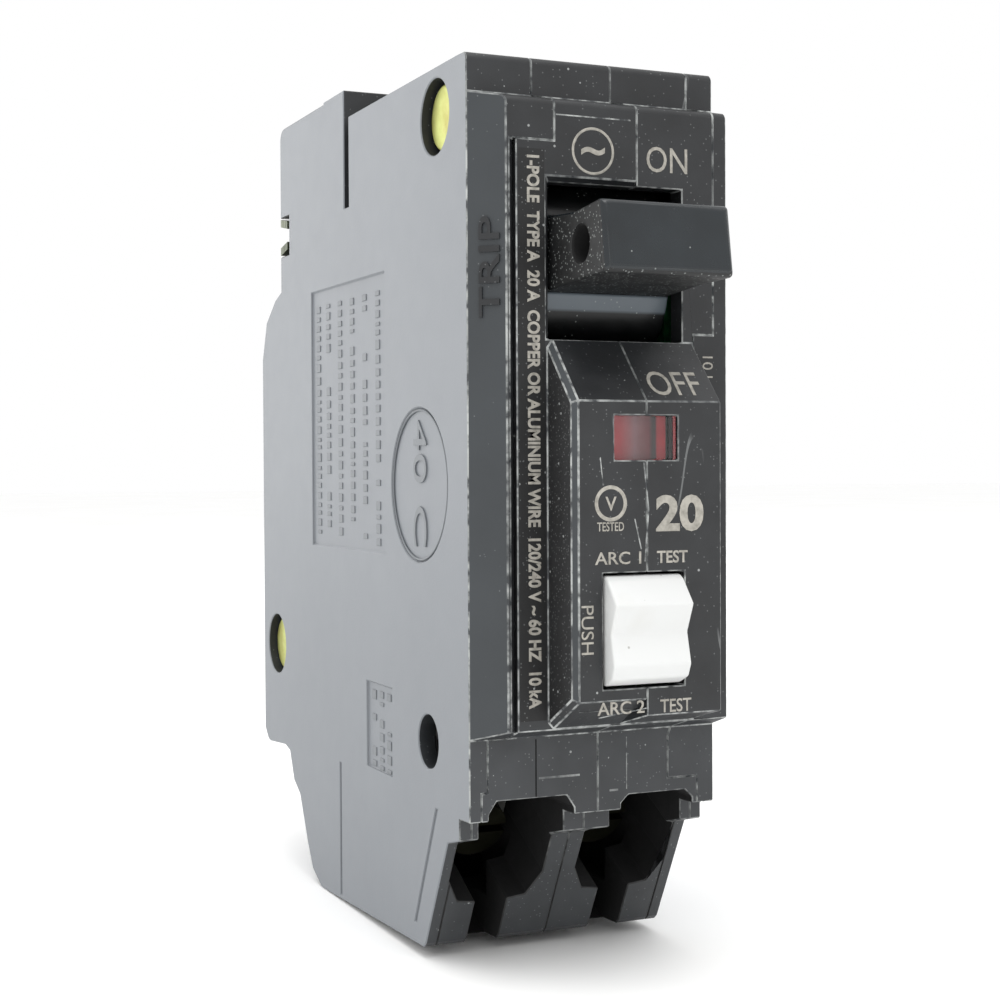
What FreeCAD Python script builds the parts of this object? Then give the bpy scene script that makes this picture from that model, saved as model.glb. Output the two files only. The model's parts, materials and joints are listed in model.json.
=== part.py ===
import FreeCAD, Part
import Sketcher
import math
import os
import re

# A one-inch, single-pole, plug-on arc-fault circuit breaker, in millimetres.
# Frame: the origin is the centre of the flat base at the wire-terminal end.
# +Z runs up towards the ON end, the operating face looks along -Y, +X is its right-hand side.
# The handle stands in its middle, tripped position.

doc = FreeCAD.newDocument("arc_fault_breaker")

# ---------------------------------------------------------------- driving dimensions
SIZES = {
    # housing outline: depth is the Y coordinate, height the Z coordinate of each corner
    "half_width": 12.7,
    "skirt_face": -27.5, "block_face": -30.08, "nose_face": -35.26,
    "top_height": 84.7, "ramp_start": -7.8, "ramp_end": 5.5, "crown_height": 87.85,
    "crown_rear": 30.9, "jaw_wall_foot": 68.5,
    "shoulder_depth": 36.0, "shoulder_height": 65.2,
    "rear_face": 37.85, "rear_top": 60.7, "rear_foot": 15.2,
    "hook_lip_depth": 36.3, "hook_lip_height": 13.7,
    "hook_root_depth": 29.5, "hook_root_height": 14.2,
    "heel_one_depth": 27.5, "heel_one_height": 13.7,
    "heel_two_depth": 25.9, "heel_two_height": 10.5,
    "heel_three_depth": 23.6, "heel_three_height": 9.2,
    "heel_four_depth": 20.8, "heel_four_height": 4.2,
    "heel_five_depth": 18.9, "heel_five_height": 1.45,
    "base_rear": 15.7, "base_height": 0.0, "base_front": -15.9, "base_front_height": 1.2,
    "slope_foot_depth": -16.46, "slope_foot_height": 1.67,
    "slope_top_depth": -22.14, "slope_top_height": 12.47,
    "ledge_depth": -25.1, "ledge_foot": 13.23, "ledge_top": 15.2, "skirt_foot": 15.3,
    "block_foot": 22.78, "block_foot_face": 23.65, "block_head_face": 80.46, "block_head": 81.1,
    "chamfer_width": 2.74, "outline_round": 1.4, "face_round": 0.7,
    # raised nose that carries the window and the test rocker
    "nose_left": -5.97, "nose_right": 8.95, "nose_split": 1.31,
    "nose_ramp_head": 58.9, "nose_ramp_foot": 53.26,
    "nose_foot_left": 26.7, "nose_foot_right": 25.2, "nose_foot_root": 23.8, "nose_root": -28.6,
    # inside of the housing
    "bay_left": -11.5, "web_left": 0.1, "web_right": 2.5, "bay_right": 11.5,
    "bay_front": -27.9, "bay_floor": 25.6, "bay_front_top": 78.9,
    "bay_shoulder": -25.4, "bay_top": 82.9,
    "slot_wall_front": 2.6, "slot_wall_rear": 8.4, "slot_wall_foot": 73.2, "bay_crown": 85.9,
    "bay_rear": 29.0, "bay_rear_step": 69.0, "bay_shoulder_rear": 34.4, "bay_shoulder_height": 64.4,
    "bay_back": 36.0, "bay_back_top": 60.2, "bay_back_foot": 17.0,
    "bay_heel_one": 27.8, "bay_heel_one_height": 15.8, "bay_heel_two": 22.4, "bay_heel_two_height": 11.1,
    "bay_heel_three": 19.5, "bay_heel_three_height": 6.0, "bay_base_rear": 15.2, "bay_base": 1.9,
    "bay_lug_wall": -6.0,
    "nose_bay_left": -4.4, "nose_bay_right": 7.4, "nose_bay_front": -33.3, "nose_bay_top": 55.0,
    "web_window_rear": -21.0, "drum_window_radius": 12.0,
    # openings in the operating face
    "handle_slot_left": -5.65, "handle_slot_right": 7.92, "handle_slot_foot": 58.9, "handle_slot_head": 73.1,
    "window_left": -1.9, "window_right": 4.5, "window_foot": 48.0, "window_head": 52.0,
    "rocker_slot_left": -3.1, "rocker_slot_right": 5.14, "rocker_slot_foot": 27.75, "rocker_slot_head": 38.05,
    "past_face": 3.0, "slot_chamfer": 0.5, "nose_chamfer": 0.5, "seam_chamfer": 0.65,
    # other openings
    "jaw_slot_foot": 72.7, "jaw_slot_head": 77.3, "jaw_slot_right": 0.1,
    "rail_slot_front": 4.8, "rail_slot_rear": 6.4, "rail_slot_foot": 75.2,
    "neutral_slot_left": 3.0, "neutral_slot_right": 10.2,
    "neutral_slot_foot": 18.3, "neutral_slot_head": 21.5,
    "through_hole_depth": -17.45, "through_hole_height": 21.3, "through_hole_radius": 2.59,
    "front_rivet_depth": -19.9, "front_rivet_height": 80.15,
    "rear_rivet_depth": 32.4, "rear_rivet_height": 26.1,
    "rivet_pillar_radius": 4.2, "rivet_recess_radius": 3.57, "rivet_recess_floor": 10.9,
    "rivet_shank_radius": 1.6, "rivet_head_radius": 3.1, "rivet_head_outer": 11.8,
    # seams between the four mouldings, seen from the front
    "seam_left_base": -11.5, "seam_left_skirt": -10.89, "seam_left_block": -9.0,
    "seam_left_head": -5.2, "seam_left_top": -6.27, "seam_left_step": 76.74, "seam_skirt_step": 17.9,
    "seam_mid_base": 0.0, "seam_mid_skirt": 0.28, "seam_mid_block": 3.2, "seam_mid_top": 1.8,
    "seam_right_base": 11.5, "seam_right_skirt": 10.9, "seam_right_neck": 7.7, "seam_right_nose": 9.1,
    "seam_right_block": 11.25, "seam_right_top": 9.85, "seam_right_step": 59.7, "seam_right_knee": 25.2,
    "seam_right_elbow": 22.0, "past_case": 1.5,
    # wire mouths on the sloping terminal face
    "left_skirt_cut_left": -9.98, "left_skirt_cut_right": -2.94, "left_skirt_cut_head": 17.1,
    "right_skirt_cut_left": 3.54, "right_skirt_cut_right": 9.59, "right_skirt_cut_head": 16.65,
    "skirt_cut_flare": 0.8, "skirt_cut_rear": -13.0, "skirt_cut_foot": 12.0, "skirt_cut_knee": 15.9,
    "left_mouth_middle": -6.75, "right_mouth_middle": 6.5, "mouth_half": 4.85, "mouth_waist": 3.55,
    "mouth_head": 4.1, "mouth_shoulder": -0.9, "mouth_knee": -3.5, "mouth_foot": -3.8,
    "mouth_slot_half": 1.65, "mouth_slot_foot": -10.5, "mouth_depth": 10.5, "mouth_reach": 5.0,
    "terminal_depth": -20.37, "terminal_height": 9.11, "terminal_tilt": 117.74,
    "chamber_half": 4.45, "chamber_front": -13.5, "chamber_rear": -5.9,
    "chamber_foot": 5.0, "chamber_head": 21.0,
    # moulded relief on the left face
    "disc_depth": -15.25, "disc_height": 45.75, "disc_radius": 7.45, "relief": 0.25,
    "plate_front": -6.0, "plate_rear": 18.0, "plate_foot": 38.7, "plate_head": 67.2,
    "bevel_low_depth": 13.2, "bevel_low_height": 73.8, "bevel_rear_height": 67.6, "bevel_drop": 0.35,
    "panel_front": -7.6, "panel_rear": 0.0, "panel_foot": 16.3, "panel_head": 25.2,
    "groove_half": 0.25, "slope_groove_inset": 2.4,
    "rear_groove_depth": 8.7, "rear_groove_foot": 0.7, "rear_groove_head": 15.3,
    # handle and its pin
    "handle_axis_depth": -18.5, "handle_axis_height": 66.1,
    "handle_left": -5.4, "handle_right": 7.3,
    "drum_radius": 10.6, "drum_half_height": 8.0, "drum_chord": -14.0, "drum_hollow_radius": 8.6,
    "drum_cheek": 1.8,
    "bar_head_depth": -39.67, "bar_head_height": 70.35, "bar_foot_depth": -40.63, "bar_foot_height": 63.93,
    "lever_waist_depth": -34.2, "lever_waist_head": 69.8, "lever_waist_foot": 63.75,
    "lever_root_depth": -27.5, "lever_root_head": 70.2, "lever_root_foot": 63.2, "bar_round": 0.75,
    "tie_hole_depth": -35.6, "tie_hole_height": 66.85, "tie_hole_radius": 1.62,
    "handle_pin_radius": 1.5, "handle_bore_radius": 1.56, "handle_pin_end": 11.2,
    "boss_radius": 3.0, "left_boss_end": -6.0, "right_boss_end": 8.0,
    # contact arm and its fixed partner
    "arm_axis_depth": -8.0, "arm_axis_height": 59.5, "arm_hub_radius": 2.2,
    "arm_left": -7.2, "arm_right": -5.0,
    "arm_elbow_depth": -3.0, "arm_elbow_head": 62.6, "arm_elbow_foot": 58.8, "arm_tip_depth": 14.2,
    "arm_tip_head": 68.8, "arm_tip_foot": 66.4, "arm_heel_depth": 9.6,
    "arm_pin_radius": 1.0, "arm_bore_radius": 1.05, "arm_pin_left": -11.5, "arm_pin_right": -4.7,
    "contact_depth": 12.0, "contact_radius": 2.1, "moving_contact_top": 69.95, "fixed_contact_radius": 2.4,
    "fixed_contact_foot": 72.85, "strap_foot": 74.5, "strap_head": 75.5,
    "strap_left": -8.6, "strap_right": -3.6, "strap_front": 9.2, "strap_rear": 19.0,
    "jaw_left": -12.45, "jaw_right": -2.4, "jaw_root": 20.0, "jaw_pinch": 26.0, "jaw_lip": 30.5,
    "jaw_neck": -9.6, "jaw_ear_front": 27.9,
    "jaw_outer_half": 2.1, "jaw_inner_half": 1.2, "jaw_pinch_outer": 1.3, "jaw_pinch_inner": 0.4,
    "jaw_lip_outer": 2.15, "jaw_lip_inner": 1.25,
    # cradle, the latched trip lever
    "cradle_axis_depth": -1.0, "cradle_axis_height": 78.0, "cradle_left": -4.4, "cradle_right": -2.6,
    "cradle_hub_radius": 2.6, "cradle_tip_depth": -8.5, "cradle_tip_height": 57.4, "cradle_half": 1.7,
    "cradle_pin_radius": 1.2, "cradle_bore_radius": 1.26, "cradle_pin_left": -11.5, "cradle_pin_right": 0.1,
    # springs
    "arm_spring_depth": 4.2, "arm_spring_foot": 49.7, "arm_spring_head": 61.6, "arm_spring_radius": 1.6,
    "spring_wire": 0.28, "arm_spring_turns": 9.0,
    "spring_shelf_foot": 48.3, "spring_shelf_head": 49.3, "spring_shelf_front": 2.2, "spring_shelf_rear": 6.4,
    # thermal and magnetic trip
    "bimetal_left": -8.5, "bimetal_right": -4.5, "bimetal_front": -1.2, "bimetal_rear": 0.0,
    "bimetal_head": 42.0, "load_strap_foot": 19.3, "load_strap_head": 20.5, "load_strap_front": -11.4,
    "load_strap_rear": 1.0, "yoke_left": -9.8, "yoke_right": -3.2, "yoke_wall": 1.0, "yoke_front": -4.0,
    "yoke_back": 1.8, "yoke_back_wall": 1.2, "yoke_foot": 28.0, "yoke_head": 38.0,
    "armature_front": -6.2, "armature_rear": -5.0, "armature_foot": 27.0, "armature_head": 53.0,
    "armature_left": -9.8, "armature_right": -3.2, "armature_axis_height": 51.6, "armature_pin_radius": 0.8,
    "armature_bore_radius": 0.85, "armature_hub_radius": 1.5, "armature_hole_radius": 1.6,
    "armature_pin_left": -11.5, "armature_pin_right": 0.1,
    # trip solenoid
    "solenoid_height": 45.5, "solenoid_middle": -6.5, "coil_radius": 4.2, "coil_core_radius": 1.9,
    "coil_front": 9.6, "coil_rear": 23.0, "frame_front": 8.2, "frame_rear": 24.4, "frame_wall": 1.0,
    "frame_half": 4.4, "plunger_radius": 1.7, "plunger_rod_radius": 1.0, "plunger_rear": 20.0,
    "plunger_neck": 11.0, "plunger_front": -8.0, "plunger_button_radius": 2.2, "plunger_button": 1.2,
    "frame_bore_radius": 2.0, "plunger_spring_front": 6.05,
    "plunger_spring_rear": 7.9, "plunger_spring_radius": 1.9, "plunger_spring_turns": 3.0,
    "collar_front": 3.4, "collar_rear": 4.0, "collar_radius": 2.2,
    "frame_foot_drop": 5.4,
    # arc chute
    "chute_front": 15.6, "chute_rear": 25.2, "chute_left": -10.4, "chute_right": -1.4, "chute_side": 0.8,
    "chute_foot": 56.0, "chute_head": 68.2, "chute_plate": 1.0, "chute_pitch": 2.3, "chute_first": 57.2,
    "chute_notch_half": 1.6, "chute_notch_rear": 20.0, "chute_plates": 5,
    # electronics
    "board_left": 9.4, "board_right": 10.6, "board_front": -24.0, "board_rear": 27.0, "board_foot": 27.5,
    "board_head": 72.4, "board_hole_radius": 3.4,
    "chip_height": 1.3, "varistor_radius": 5.0, "varistor_thick": 3.6, "varistor_depth": 16.0,
    "varistor_height": 61.0, "capacitor_radius": 2.9, "capacitor_length": 10.5, "capacitor_depth": -8.0,
    "capacitor_pitch": 7.4, "capacitor_foot": 29.0, "capacitor_middle": 6.3, "capacitor_count": 3,
    "sensor_middle": 7.0, "sensor_height": 19.9, "sensor_radius": 3.2, "sensor_section": 1.15,
    "sensor_depth": 8.0,
    "neutral_left": 5.9, "neutral_right": 8.1, "neutral_foot": 19.3, "neutral_head": 20.5,
    "neutral_front": -11.4, "neutral_rear": 28.0,
    "clip_left": 3.6, "clip_right": 9.6, "clip_root": 29.0, "clip_pinch": 33.0, "clip_lip": 35.6,
    "clip_outer_half": 1.9, "clip_inner_half": 1.1, "clip_pinch_outer": 1.2, "clip_pinch_inner": 0.4,
    "clip_lip_outer": 1.9, "clip_lip_inner": 1.1,
    # test rocker, its pin and the two switches behind it
    "rocker_left": -2.86, "rocker_right": 4.9, "rocker_axis_depth": -31.0, "rocker_axis_height": 32.9,
    "rocker_pin_radius": 0.9, "rocker_bore_radius": 0.95, "rocker_pin_left": -5.2, "rocker_pin_right": 8.2,
    "rocker_foot": 28.0, "rocker_head": 37.8, "rocker_rear": -29.6,
    "rocker_rim_depth": -35.0, "rocker_top_rise": -35.6, "rocker_top_knee": 37.45,
    "rocker_upper_hump": -37.45, "rocker_upper_height": 35.3,
    "rocker_valley": -36.3, "rocker_valley_height": 32.7,
    "rocker_lower_hump": -37.0, "rocker_lower_height": 29.9,
    "rocker_low_knee": -36.5, "rocker_low_height": 28.7,
    "rocker_leg_rear": -28.0, "rocker_leg_thick": 1.6, "rocker_leg_inset": 1.2,
    "switch_front": -27.6, "switch_body_front": -26.8, "switch_rear": -24.8, "switch_board_rear": -23.8,
    "switch_left": -1.6, "switch_right": 3.6, "switch_half": 1.9, "switch_button_radius": 0.9,
    "switch_board_left": -4.0, "switch_board_right": 7.2,
    "switch_board_foot": 26.2, "switch_board_head": 40.5,
    # window lens and trip flag
    "lens_gap": 0.04, "lens_front": -35.0, "lens_rear": -33.7,
    "flag_left": -1.6, "flag_right": 4.2, "flag_front": -33.0, "flag_rear": -32.3, "flag_foot": 47.4,
    "flag_head": 52.6, "flag_stem_left": -1.2, "flag_stem_right": 0.0, "flag_stem_rear": -23.5,
    "flag_stem_foot": 49.4, "flag_stem_head": 50.8,
    # wire terminals, in the tilted terminal frame: depth runs inwards from the sloping face
    "screw_head_outer": -6.0, "screw_head_inner": -8.0, "screw_head_radius": 3.1, "screw_shank_radius": 1.7,
    "screw_tip": -15.0, "screw_slot": 0.9, "screw_slot_depth": 0.9,
    "clamp_outer": -8.05, "clamp_inner": -9.25, "clamp_half": 3.55, "clamp_half_width": 3.7,
    "clamp_bore_radius": 1.76,
    "lug_outer": -11.3, "lug_inner": -12.7, "lug_half": 3.9, "lug_head": 5.6, "lug_half_width": 4.1,
    "lug_bore_radius": 1.76,
    # braided conductor from the bimetal to the contact arm
    "braid_radius": 0.8, "braid_middle": -8.4, "braid_depth": 0.8, "braid_foot": 39.2, "braid_knee": 50.0,
    "braid_bend": 5.0, "braid_end_depth": -5.6, "braid_end_height": 57.0,
}

# chips on the board: centre depth, centre height, size in depth, size in height
CHIPS = {
    "controller": (14.0, 42.0, 7.0, 7.0), "amplifier": (2.0, 52.0, 5.0, 4.0),
    "regulator": (20.0, 50.0, 4.0, 5.0), "driver": (-4.0, 60.0, 4.0, 6.0),
}
for chip, chip_sizes in CHIPS.items():
    for what, size in zip(("depth", "height", "deep", "tall"), chip_sizes):
        SIZES[f"{chip}_{what}"] = size

sheet = doc.addObject("Spreadsheet::Sheet", "dims")
for row, (alias, size) in enumerate(SIZES.items(), start=1):
    sheet.set(f"A{row}", alias)
    sheet.set(f"B{row}", str(size))
    sheet.setAlias(f"B{row}", alias)
doc.recompute()

CELL_NAME = re.compile(r"[a-z][a-z_]+")
ZERO = "base_height"
RIVET_PLACES = [("front_rivet_depth", "front_rivet_height"), ("rear_rivet_depth", "rear_rivet_height")]
PLANE_OF = {"x": "YZ_Plane", "y": "XZ_Plane", "z": "XY_Plane"}
TURN_TO = {
    "x": FreeCAD.Rotation(FreeCAD.Vector(0, 1, 0), 90),
    "y": FreeCAD.Rotation(FreeCAD.Vector(1, 0, 0), -90),
    "z": FreeCAD.Rotation(),
}
ALONG_X = 0.999       # least X part of a unit direction that counts as running along X
SAME_PLACE = 0.01     # two corners closer than this, in millimetres, are the same one
sub_parts = []


# ---------------------------------------------------------------- helpers
def bind(item, path, expression):
    """Ties one property of an object to an expression of sheet cells."""
    item.setExpression(path, CELL_NAME.sub(r"dims.\g<0>", expression))


def number(expression):
    """The value of an expression of sheet cells."""
    return float(sheet.evalExpression(expression))


def keep(item, label):
    """Marks an object as a finished sub-part and names it."""
    item.Label = label
    sub_parts.append(item)
    return item


def box(low, high):
    """A block between two corners, each given as three expressions."""
    item = doc.addObject("Part::Box", "block")
    for axis, side, start, end in zip("xyz", ("Length", "Width", "Height"), low, high):
        bind(item, side, f"({end}) - ({start})")
        bind(item, f"Placement.Base.{axis}", start)
    return item


def rod(axis, start, end, across, radius):
    """A cylinder along x, y or z between two stations; across holds the two other coordinates."""
    item = doc.addObject("Part::Cylinder", "round")
    item.Placement = FreeCAD.Placement(FreeCAD.Vector(), TURN_TO[axis])
    bind(item, "Radius", radius)
    bind(item, "Height", f"({end}) - ({start})")
    places = dict(zip([a for a in "xyz" if a != axis], across))
    places[axis] = start
    for name, place in places.items():
        bind(item, f"Placement.Base.{name}", place)
    return item


def fuse(*items):
    """One solid from several touching ones."""
    item = doc.addObject("Part::MultiFuse", "joined")
    item.Shapes = list(items)
    item.Refine = True
    return item


def cut(base, *tools):
    """A solid with other solids taken out of it."""
    for tool in tools:
        item = doc.addObject("Part::Cut", "opened")
        item.Base = base
        item.Tool = tool
        item.Refine = True
        base = item
    return base


def common(base, tool):
    """What two solids share."""
    item = doc.addObject("Part::Common", "shared")
    item.Base = base
    item.Tool = tool
    item.Refine = True
    return item


def group(*items):
    """Separate solids that share one node."""
    item = doc.addObject("Part::Compound", "set")
    item.Links = list(items)
    return item


def new_sketch(body, axis, station):
    """A sketch across an axis: (Y, Z) for x, (X, Z) for y and (X, Y) for z."""
    drawing = body.newObject("Sketcher::SketchObject", "drawing")
    plane = [item for item in body.Origin.OriginFeatures if item.Role == PLANE_OF[axis]][0]
    drawing.AttachmentSupport = [(plane, "")]
    drawing.MapMode = "FlatFace"
    bind(drawing, "AttachmentOffset.Base.z", f"-({station})" if axis == "y" else station)
    return drawing


def draw_polygon(drawing, corners):
    """A closed outline whose corners are pairs of expressions."""
    first = drawing.GeometryCount
    points = [FreeCAD.Vector(number(across), number(along), 0) for across, along in corners]
    count = len(points)
    for index, point in enumerate(points):
        drawing.addGeometry(Part.LineSegment(point, points[(index + 1) % count]), False)
    for index in range(count):
        line, following = first + index, first + (index + 1) % count
        drawing.addConstraint(Sketcher.Constraint("Coincident", line, 2, following, 1))
    for index, (across, along) in enumerate(corners):
        for kind, expression in (("DistanceX", across), ("DistanceY", along)):
            rule = Sketcher.Constraint(kind, -1, 1, first + index, 1, number(expression))
            bind(drawing, f"Constraints[{drawing.addConstraint(rule)}]", expression)


def draw_circle(drawing, centre, radius):
    """A circle with its centre and radius tied to the sheet."""
    middle = FreeCAD.Vector(number(centre[0]), number(centre[1]), 0)
    ring = drawing.addGeometry(Part.Circle(middle, FreeCAD.Vector(0, 0, 1), number(radius)), False)
    for kind, expression in (("DistanceX", centre[0]), ("DistanceY", centre[1])):
        rule = Sketcher.Constraint(kind, -1, 1, ring, 3, number(expression))
        bind(drawing, f"Constraints[{drawing.addConstraint(rule)}]", expression)
    rule = Sketcher.Constraint("Radius", ring, number(radius))
    bind(drawing, f"Constraints[{drawing.addConstraint(rule)}]", radius)


def prism(name, axis, start, end, corners, holes=()):
    """A Body: an outline, less round holes, padded along an axis from one station to another."""
    body = doc.addObject("PartDesign::Body", name)
    drawing = new_sketch(body, axis, start)
    draw_polygon(drawing, corners)
    for centre, radius in holes:
        draw_circle(drawing, centre, radius)
    pad = body.newObject("PartDesign::Pad", "thickness")
    pad.Profile = drawing
    pad.Reversed = axis == "y"
    bind(pad, "Length", f"({end}) - ({start})")
    return body


def softened(kind, item, radius, wanted):
    """Rounds or chamfers the straight edges whose middle and direction the test 'wanted' accepts."""
    doc.recompute()
    item_round = doc.addObject(kind, "softened")
    item_round.Base = item
    size = number(radius)
    chosen = []
    for index, edge in enumerate(item.Shape.Edges, start=1):
        if not isinstance(edge.Curve, Part.Line):
            continue
        if wanted(edge.CenterOfMass, edge.tangentAt(edge.FirstParameter)):
            chosen.append((index, size, size))
    item_round.Edges = chosen
    return item_round


def spiral(name, axis, start, end, across, radius, turns):
    """A wire spring: a helix swept by its round wire, standing along y or z."""
    length = number(f"({end}) - ({start})")
    helix = Part.makeHelix(length / number(turns), length, number(radius))
    wire = number("spring_wire")
    ring = Part.makeCircle(wire, FreeCAD.Vector(number(radius), 0, 0), FreeCAD.Vector(0, 1, 0))
    solid = Part.Wire(helix.Edges).makePipeShell([Part.Wire(ring)], True, True)
    item = doc.addObject("Part::Feature", name)
    item.Shape = solid
    places = dict(zip([a for a in "xyz" if a != axis], across))
    places[axis] = start
    spot = FreeCAD.Vector(*(number(places[a]) for a in "xyz"))
    item.Placement = FreeCAD.Placement(spot, TURN_TO[axis])
    return item


def tilt_to_terminal(item, middle):
    """Sets a solid made about the terminal axis down on the sloping terminal face."""
    item.Placement = FreeCAD.Placement(FreeCAD.Vector(), FreeCAD.Rotation(FreeCAD.Vector(1, 0, 0), 1))
    bind(item, "Placement.Rotation.Angle", "terminal_tilt")
    bind(item, "Placement.Base.x", middle)
    bind(item, "Placement.Base.y", "terminal_depth")
    bind(item, "Placement.Base.z", "terminal_height")
    return item


# ---------------------------------------------------------------- housing
def side_outline(front, top_front, top_rear):
    """Corners of the housing seen from its side, from the top of the face round the back."""
    return [
        (front, "top_height"), top_front, top_rear,
        ("crown_rear", "crown_height"), ("crown_rear", "jaw_wall_foot"),
        ("shoulder_depth", "shoulder_height"), ("rear_face", "rear_top"), ("rear_face", "rear_foot"),
        ("hook_lip_depth", "hook_lip_height"), ("hook_root_depth", "hook_root_height"),
        ("heel_one_depth", "heel_one_height"), ("heel_two_depth", "heel_two_height"),
        ("heel_three_depth", "heel_three_height"), ("heel_four_depth", "heel_four_height"),
        ("heel_five_depth", "heel_five_height"), ("base_rear", "base_height"),
        ("base_front", "base_front_height"), ("slope_foot_depth", "slope_foot_height"),
        ("slope_top_depth", "slope_top_height"), ("ledge_depth", "ledge_foot"),
        ("ledge_depth", "ledge_top"), (front, "skirt_foot"),
        (front, "block_foot"), ("block_face", "block_foot_face"),
        ("block_face", "block_head_face"), (front, "block_head"),
    ]


def nose_half(name, left, right, foot):
    """One half of the raised nose: flat face, ramp up to the handle, short slope at its foot."""
    corners = [
        ("nose_root", "nose_ramp_head"), ("block_face", "nose_ramp_head"), ("nose_face", "nose_ramp_foot"),
        ("nose_face", foot), ("block_face", "nose_foot_root"), ("nose_root", "nose_foot_root"),
    ]
    return prism(name, "x", left, right, corners)


def wire_mouth(name, middle):
    """The keyhole that a screwdriver and a wire go in by, cut square to the sloping face."""
    right_half = [
        ("mouth_slot_half", "mouth_slot_foot"), ("mouth_slot_half", "mouth_foot"),
        ("mouth_waist", "mouth_knee"), ("mouth_half", "mouth_shoulder"), ("mouth_half", "mouth_waist"),
        ("mouth_waist", "mouth_head"),
    ]
    left_half = [(f"-{across}", along) for across, along in reversed(right_half)]
    body = prism(name, "z", "-mouth_depth", "mouth_reach", right_half + left_half)
    return tilt_to_terminal(body, middle)


def lug_chamber(middle):
    """The room behind a wire mouth where the lug sits."""
    low = (f"{middle} - chamber_half", "chamber_front", "chamber_foot")
    return box(low, (f"{middle} + chamber_half", "chamber_rear", "chamber_head"))


def skirt_cut(name, left, right, head):
    """The notch in the skirt over a wire mouth."""
    corners = [
        (left, head), (right, head), (f"{right} + skirt_cut_flare", "skirt_cut_knee"),
        (f"{right} + skirt_cut_flare", "skirt_cut_foot"), (f"{left} - skirt_cut_flare", "skirt_cut_foot"),
        (f"{left} - skirt_cut_flare", "skirt_cut_knee"),
    ]
    return prism(name, "y", "skirt_face - past_case", "skirt_cut_rear", corners)


def bay(name, left, right):
    """The hollow of one half of the housing."""
    corners = [
        ("bay_front", "bay_floor"), ("bay_front", "bay_front_top"), ("bay_shoulder", "bay_front_top"),
        ("bay_shoulder", "bay_top"), ("slot_wall_front", "bay_top"), ("slot_wall_front", "slot_wall_foot"),
        ("slot_wall_rear", "slot_wall_foot"), ("slot_wall_rear", "bay_crown"), ("bay_rear", "bay_crown"),
        ("bay_rear", "bay_rear_step"), ("bay_shoulder_rear", "bay_shoulder_height"),
        ("bay_back", "bay_back_top"), ("bay_back", "bay_back_foot"),
        ("bay_heel_one", "bay_heel_one_height"), ("bay_heel_two", "bay_heel_two_height"),
        ("bay_heel_three", "bay_heel_three_height"), ("bay_base_rear", "bay_base"),
        ("bay_lug_wall", "bay_base"), ("bay_lug_wall", "bay_floor"),
    ]
    pillars = []
    for place in RIVET_PLACES + [("through_hole_depth", "through_hole_height")]:
        pillars.append(rod("x", left, right, place, "rivet_pillar_radius"))
    return cut(prism(name, "x", left, right, corners), *pillars)


def slot_lead_in():
    """The chamfer round the left half of the handle opening."""
    item = doc.addObject("Part::Wedge", "lead_in")
    sizes = {
        "Xmin": "handle_slot_left - slot_chamfer", "X2min": "handle_slot_left",
        "Xmax": "seam_mid_block", "X2max": "seam_mid_block",
        "Ymin": "block_face", "Ymax": "block_face + slot_chamfer",
        "Zmin": "handle_slot_foot", "Z2min": "handle_slot_foot",
        "Zmax": "handle_slot_head + slot_chamfer", "Z2max": "handle_slot_head",
    }
    for side, expression in sizes.items():
        bind(item, side, expression)
    return item


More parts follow.
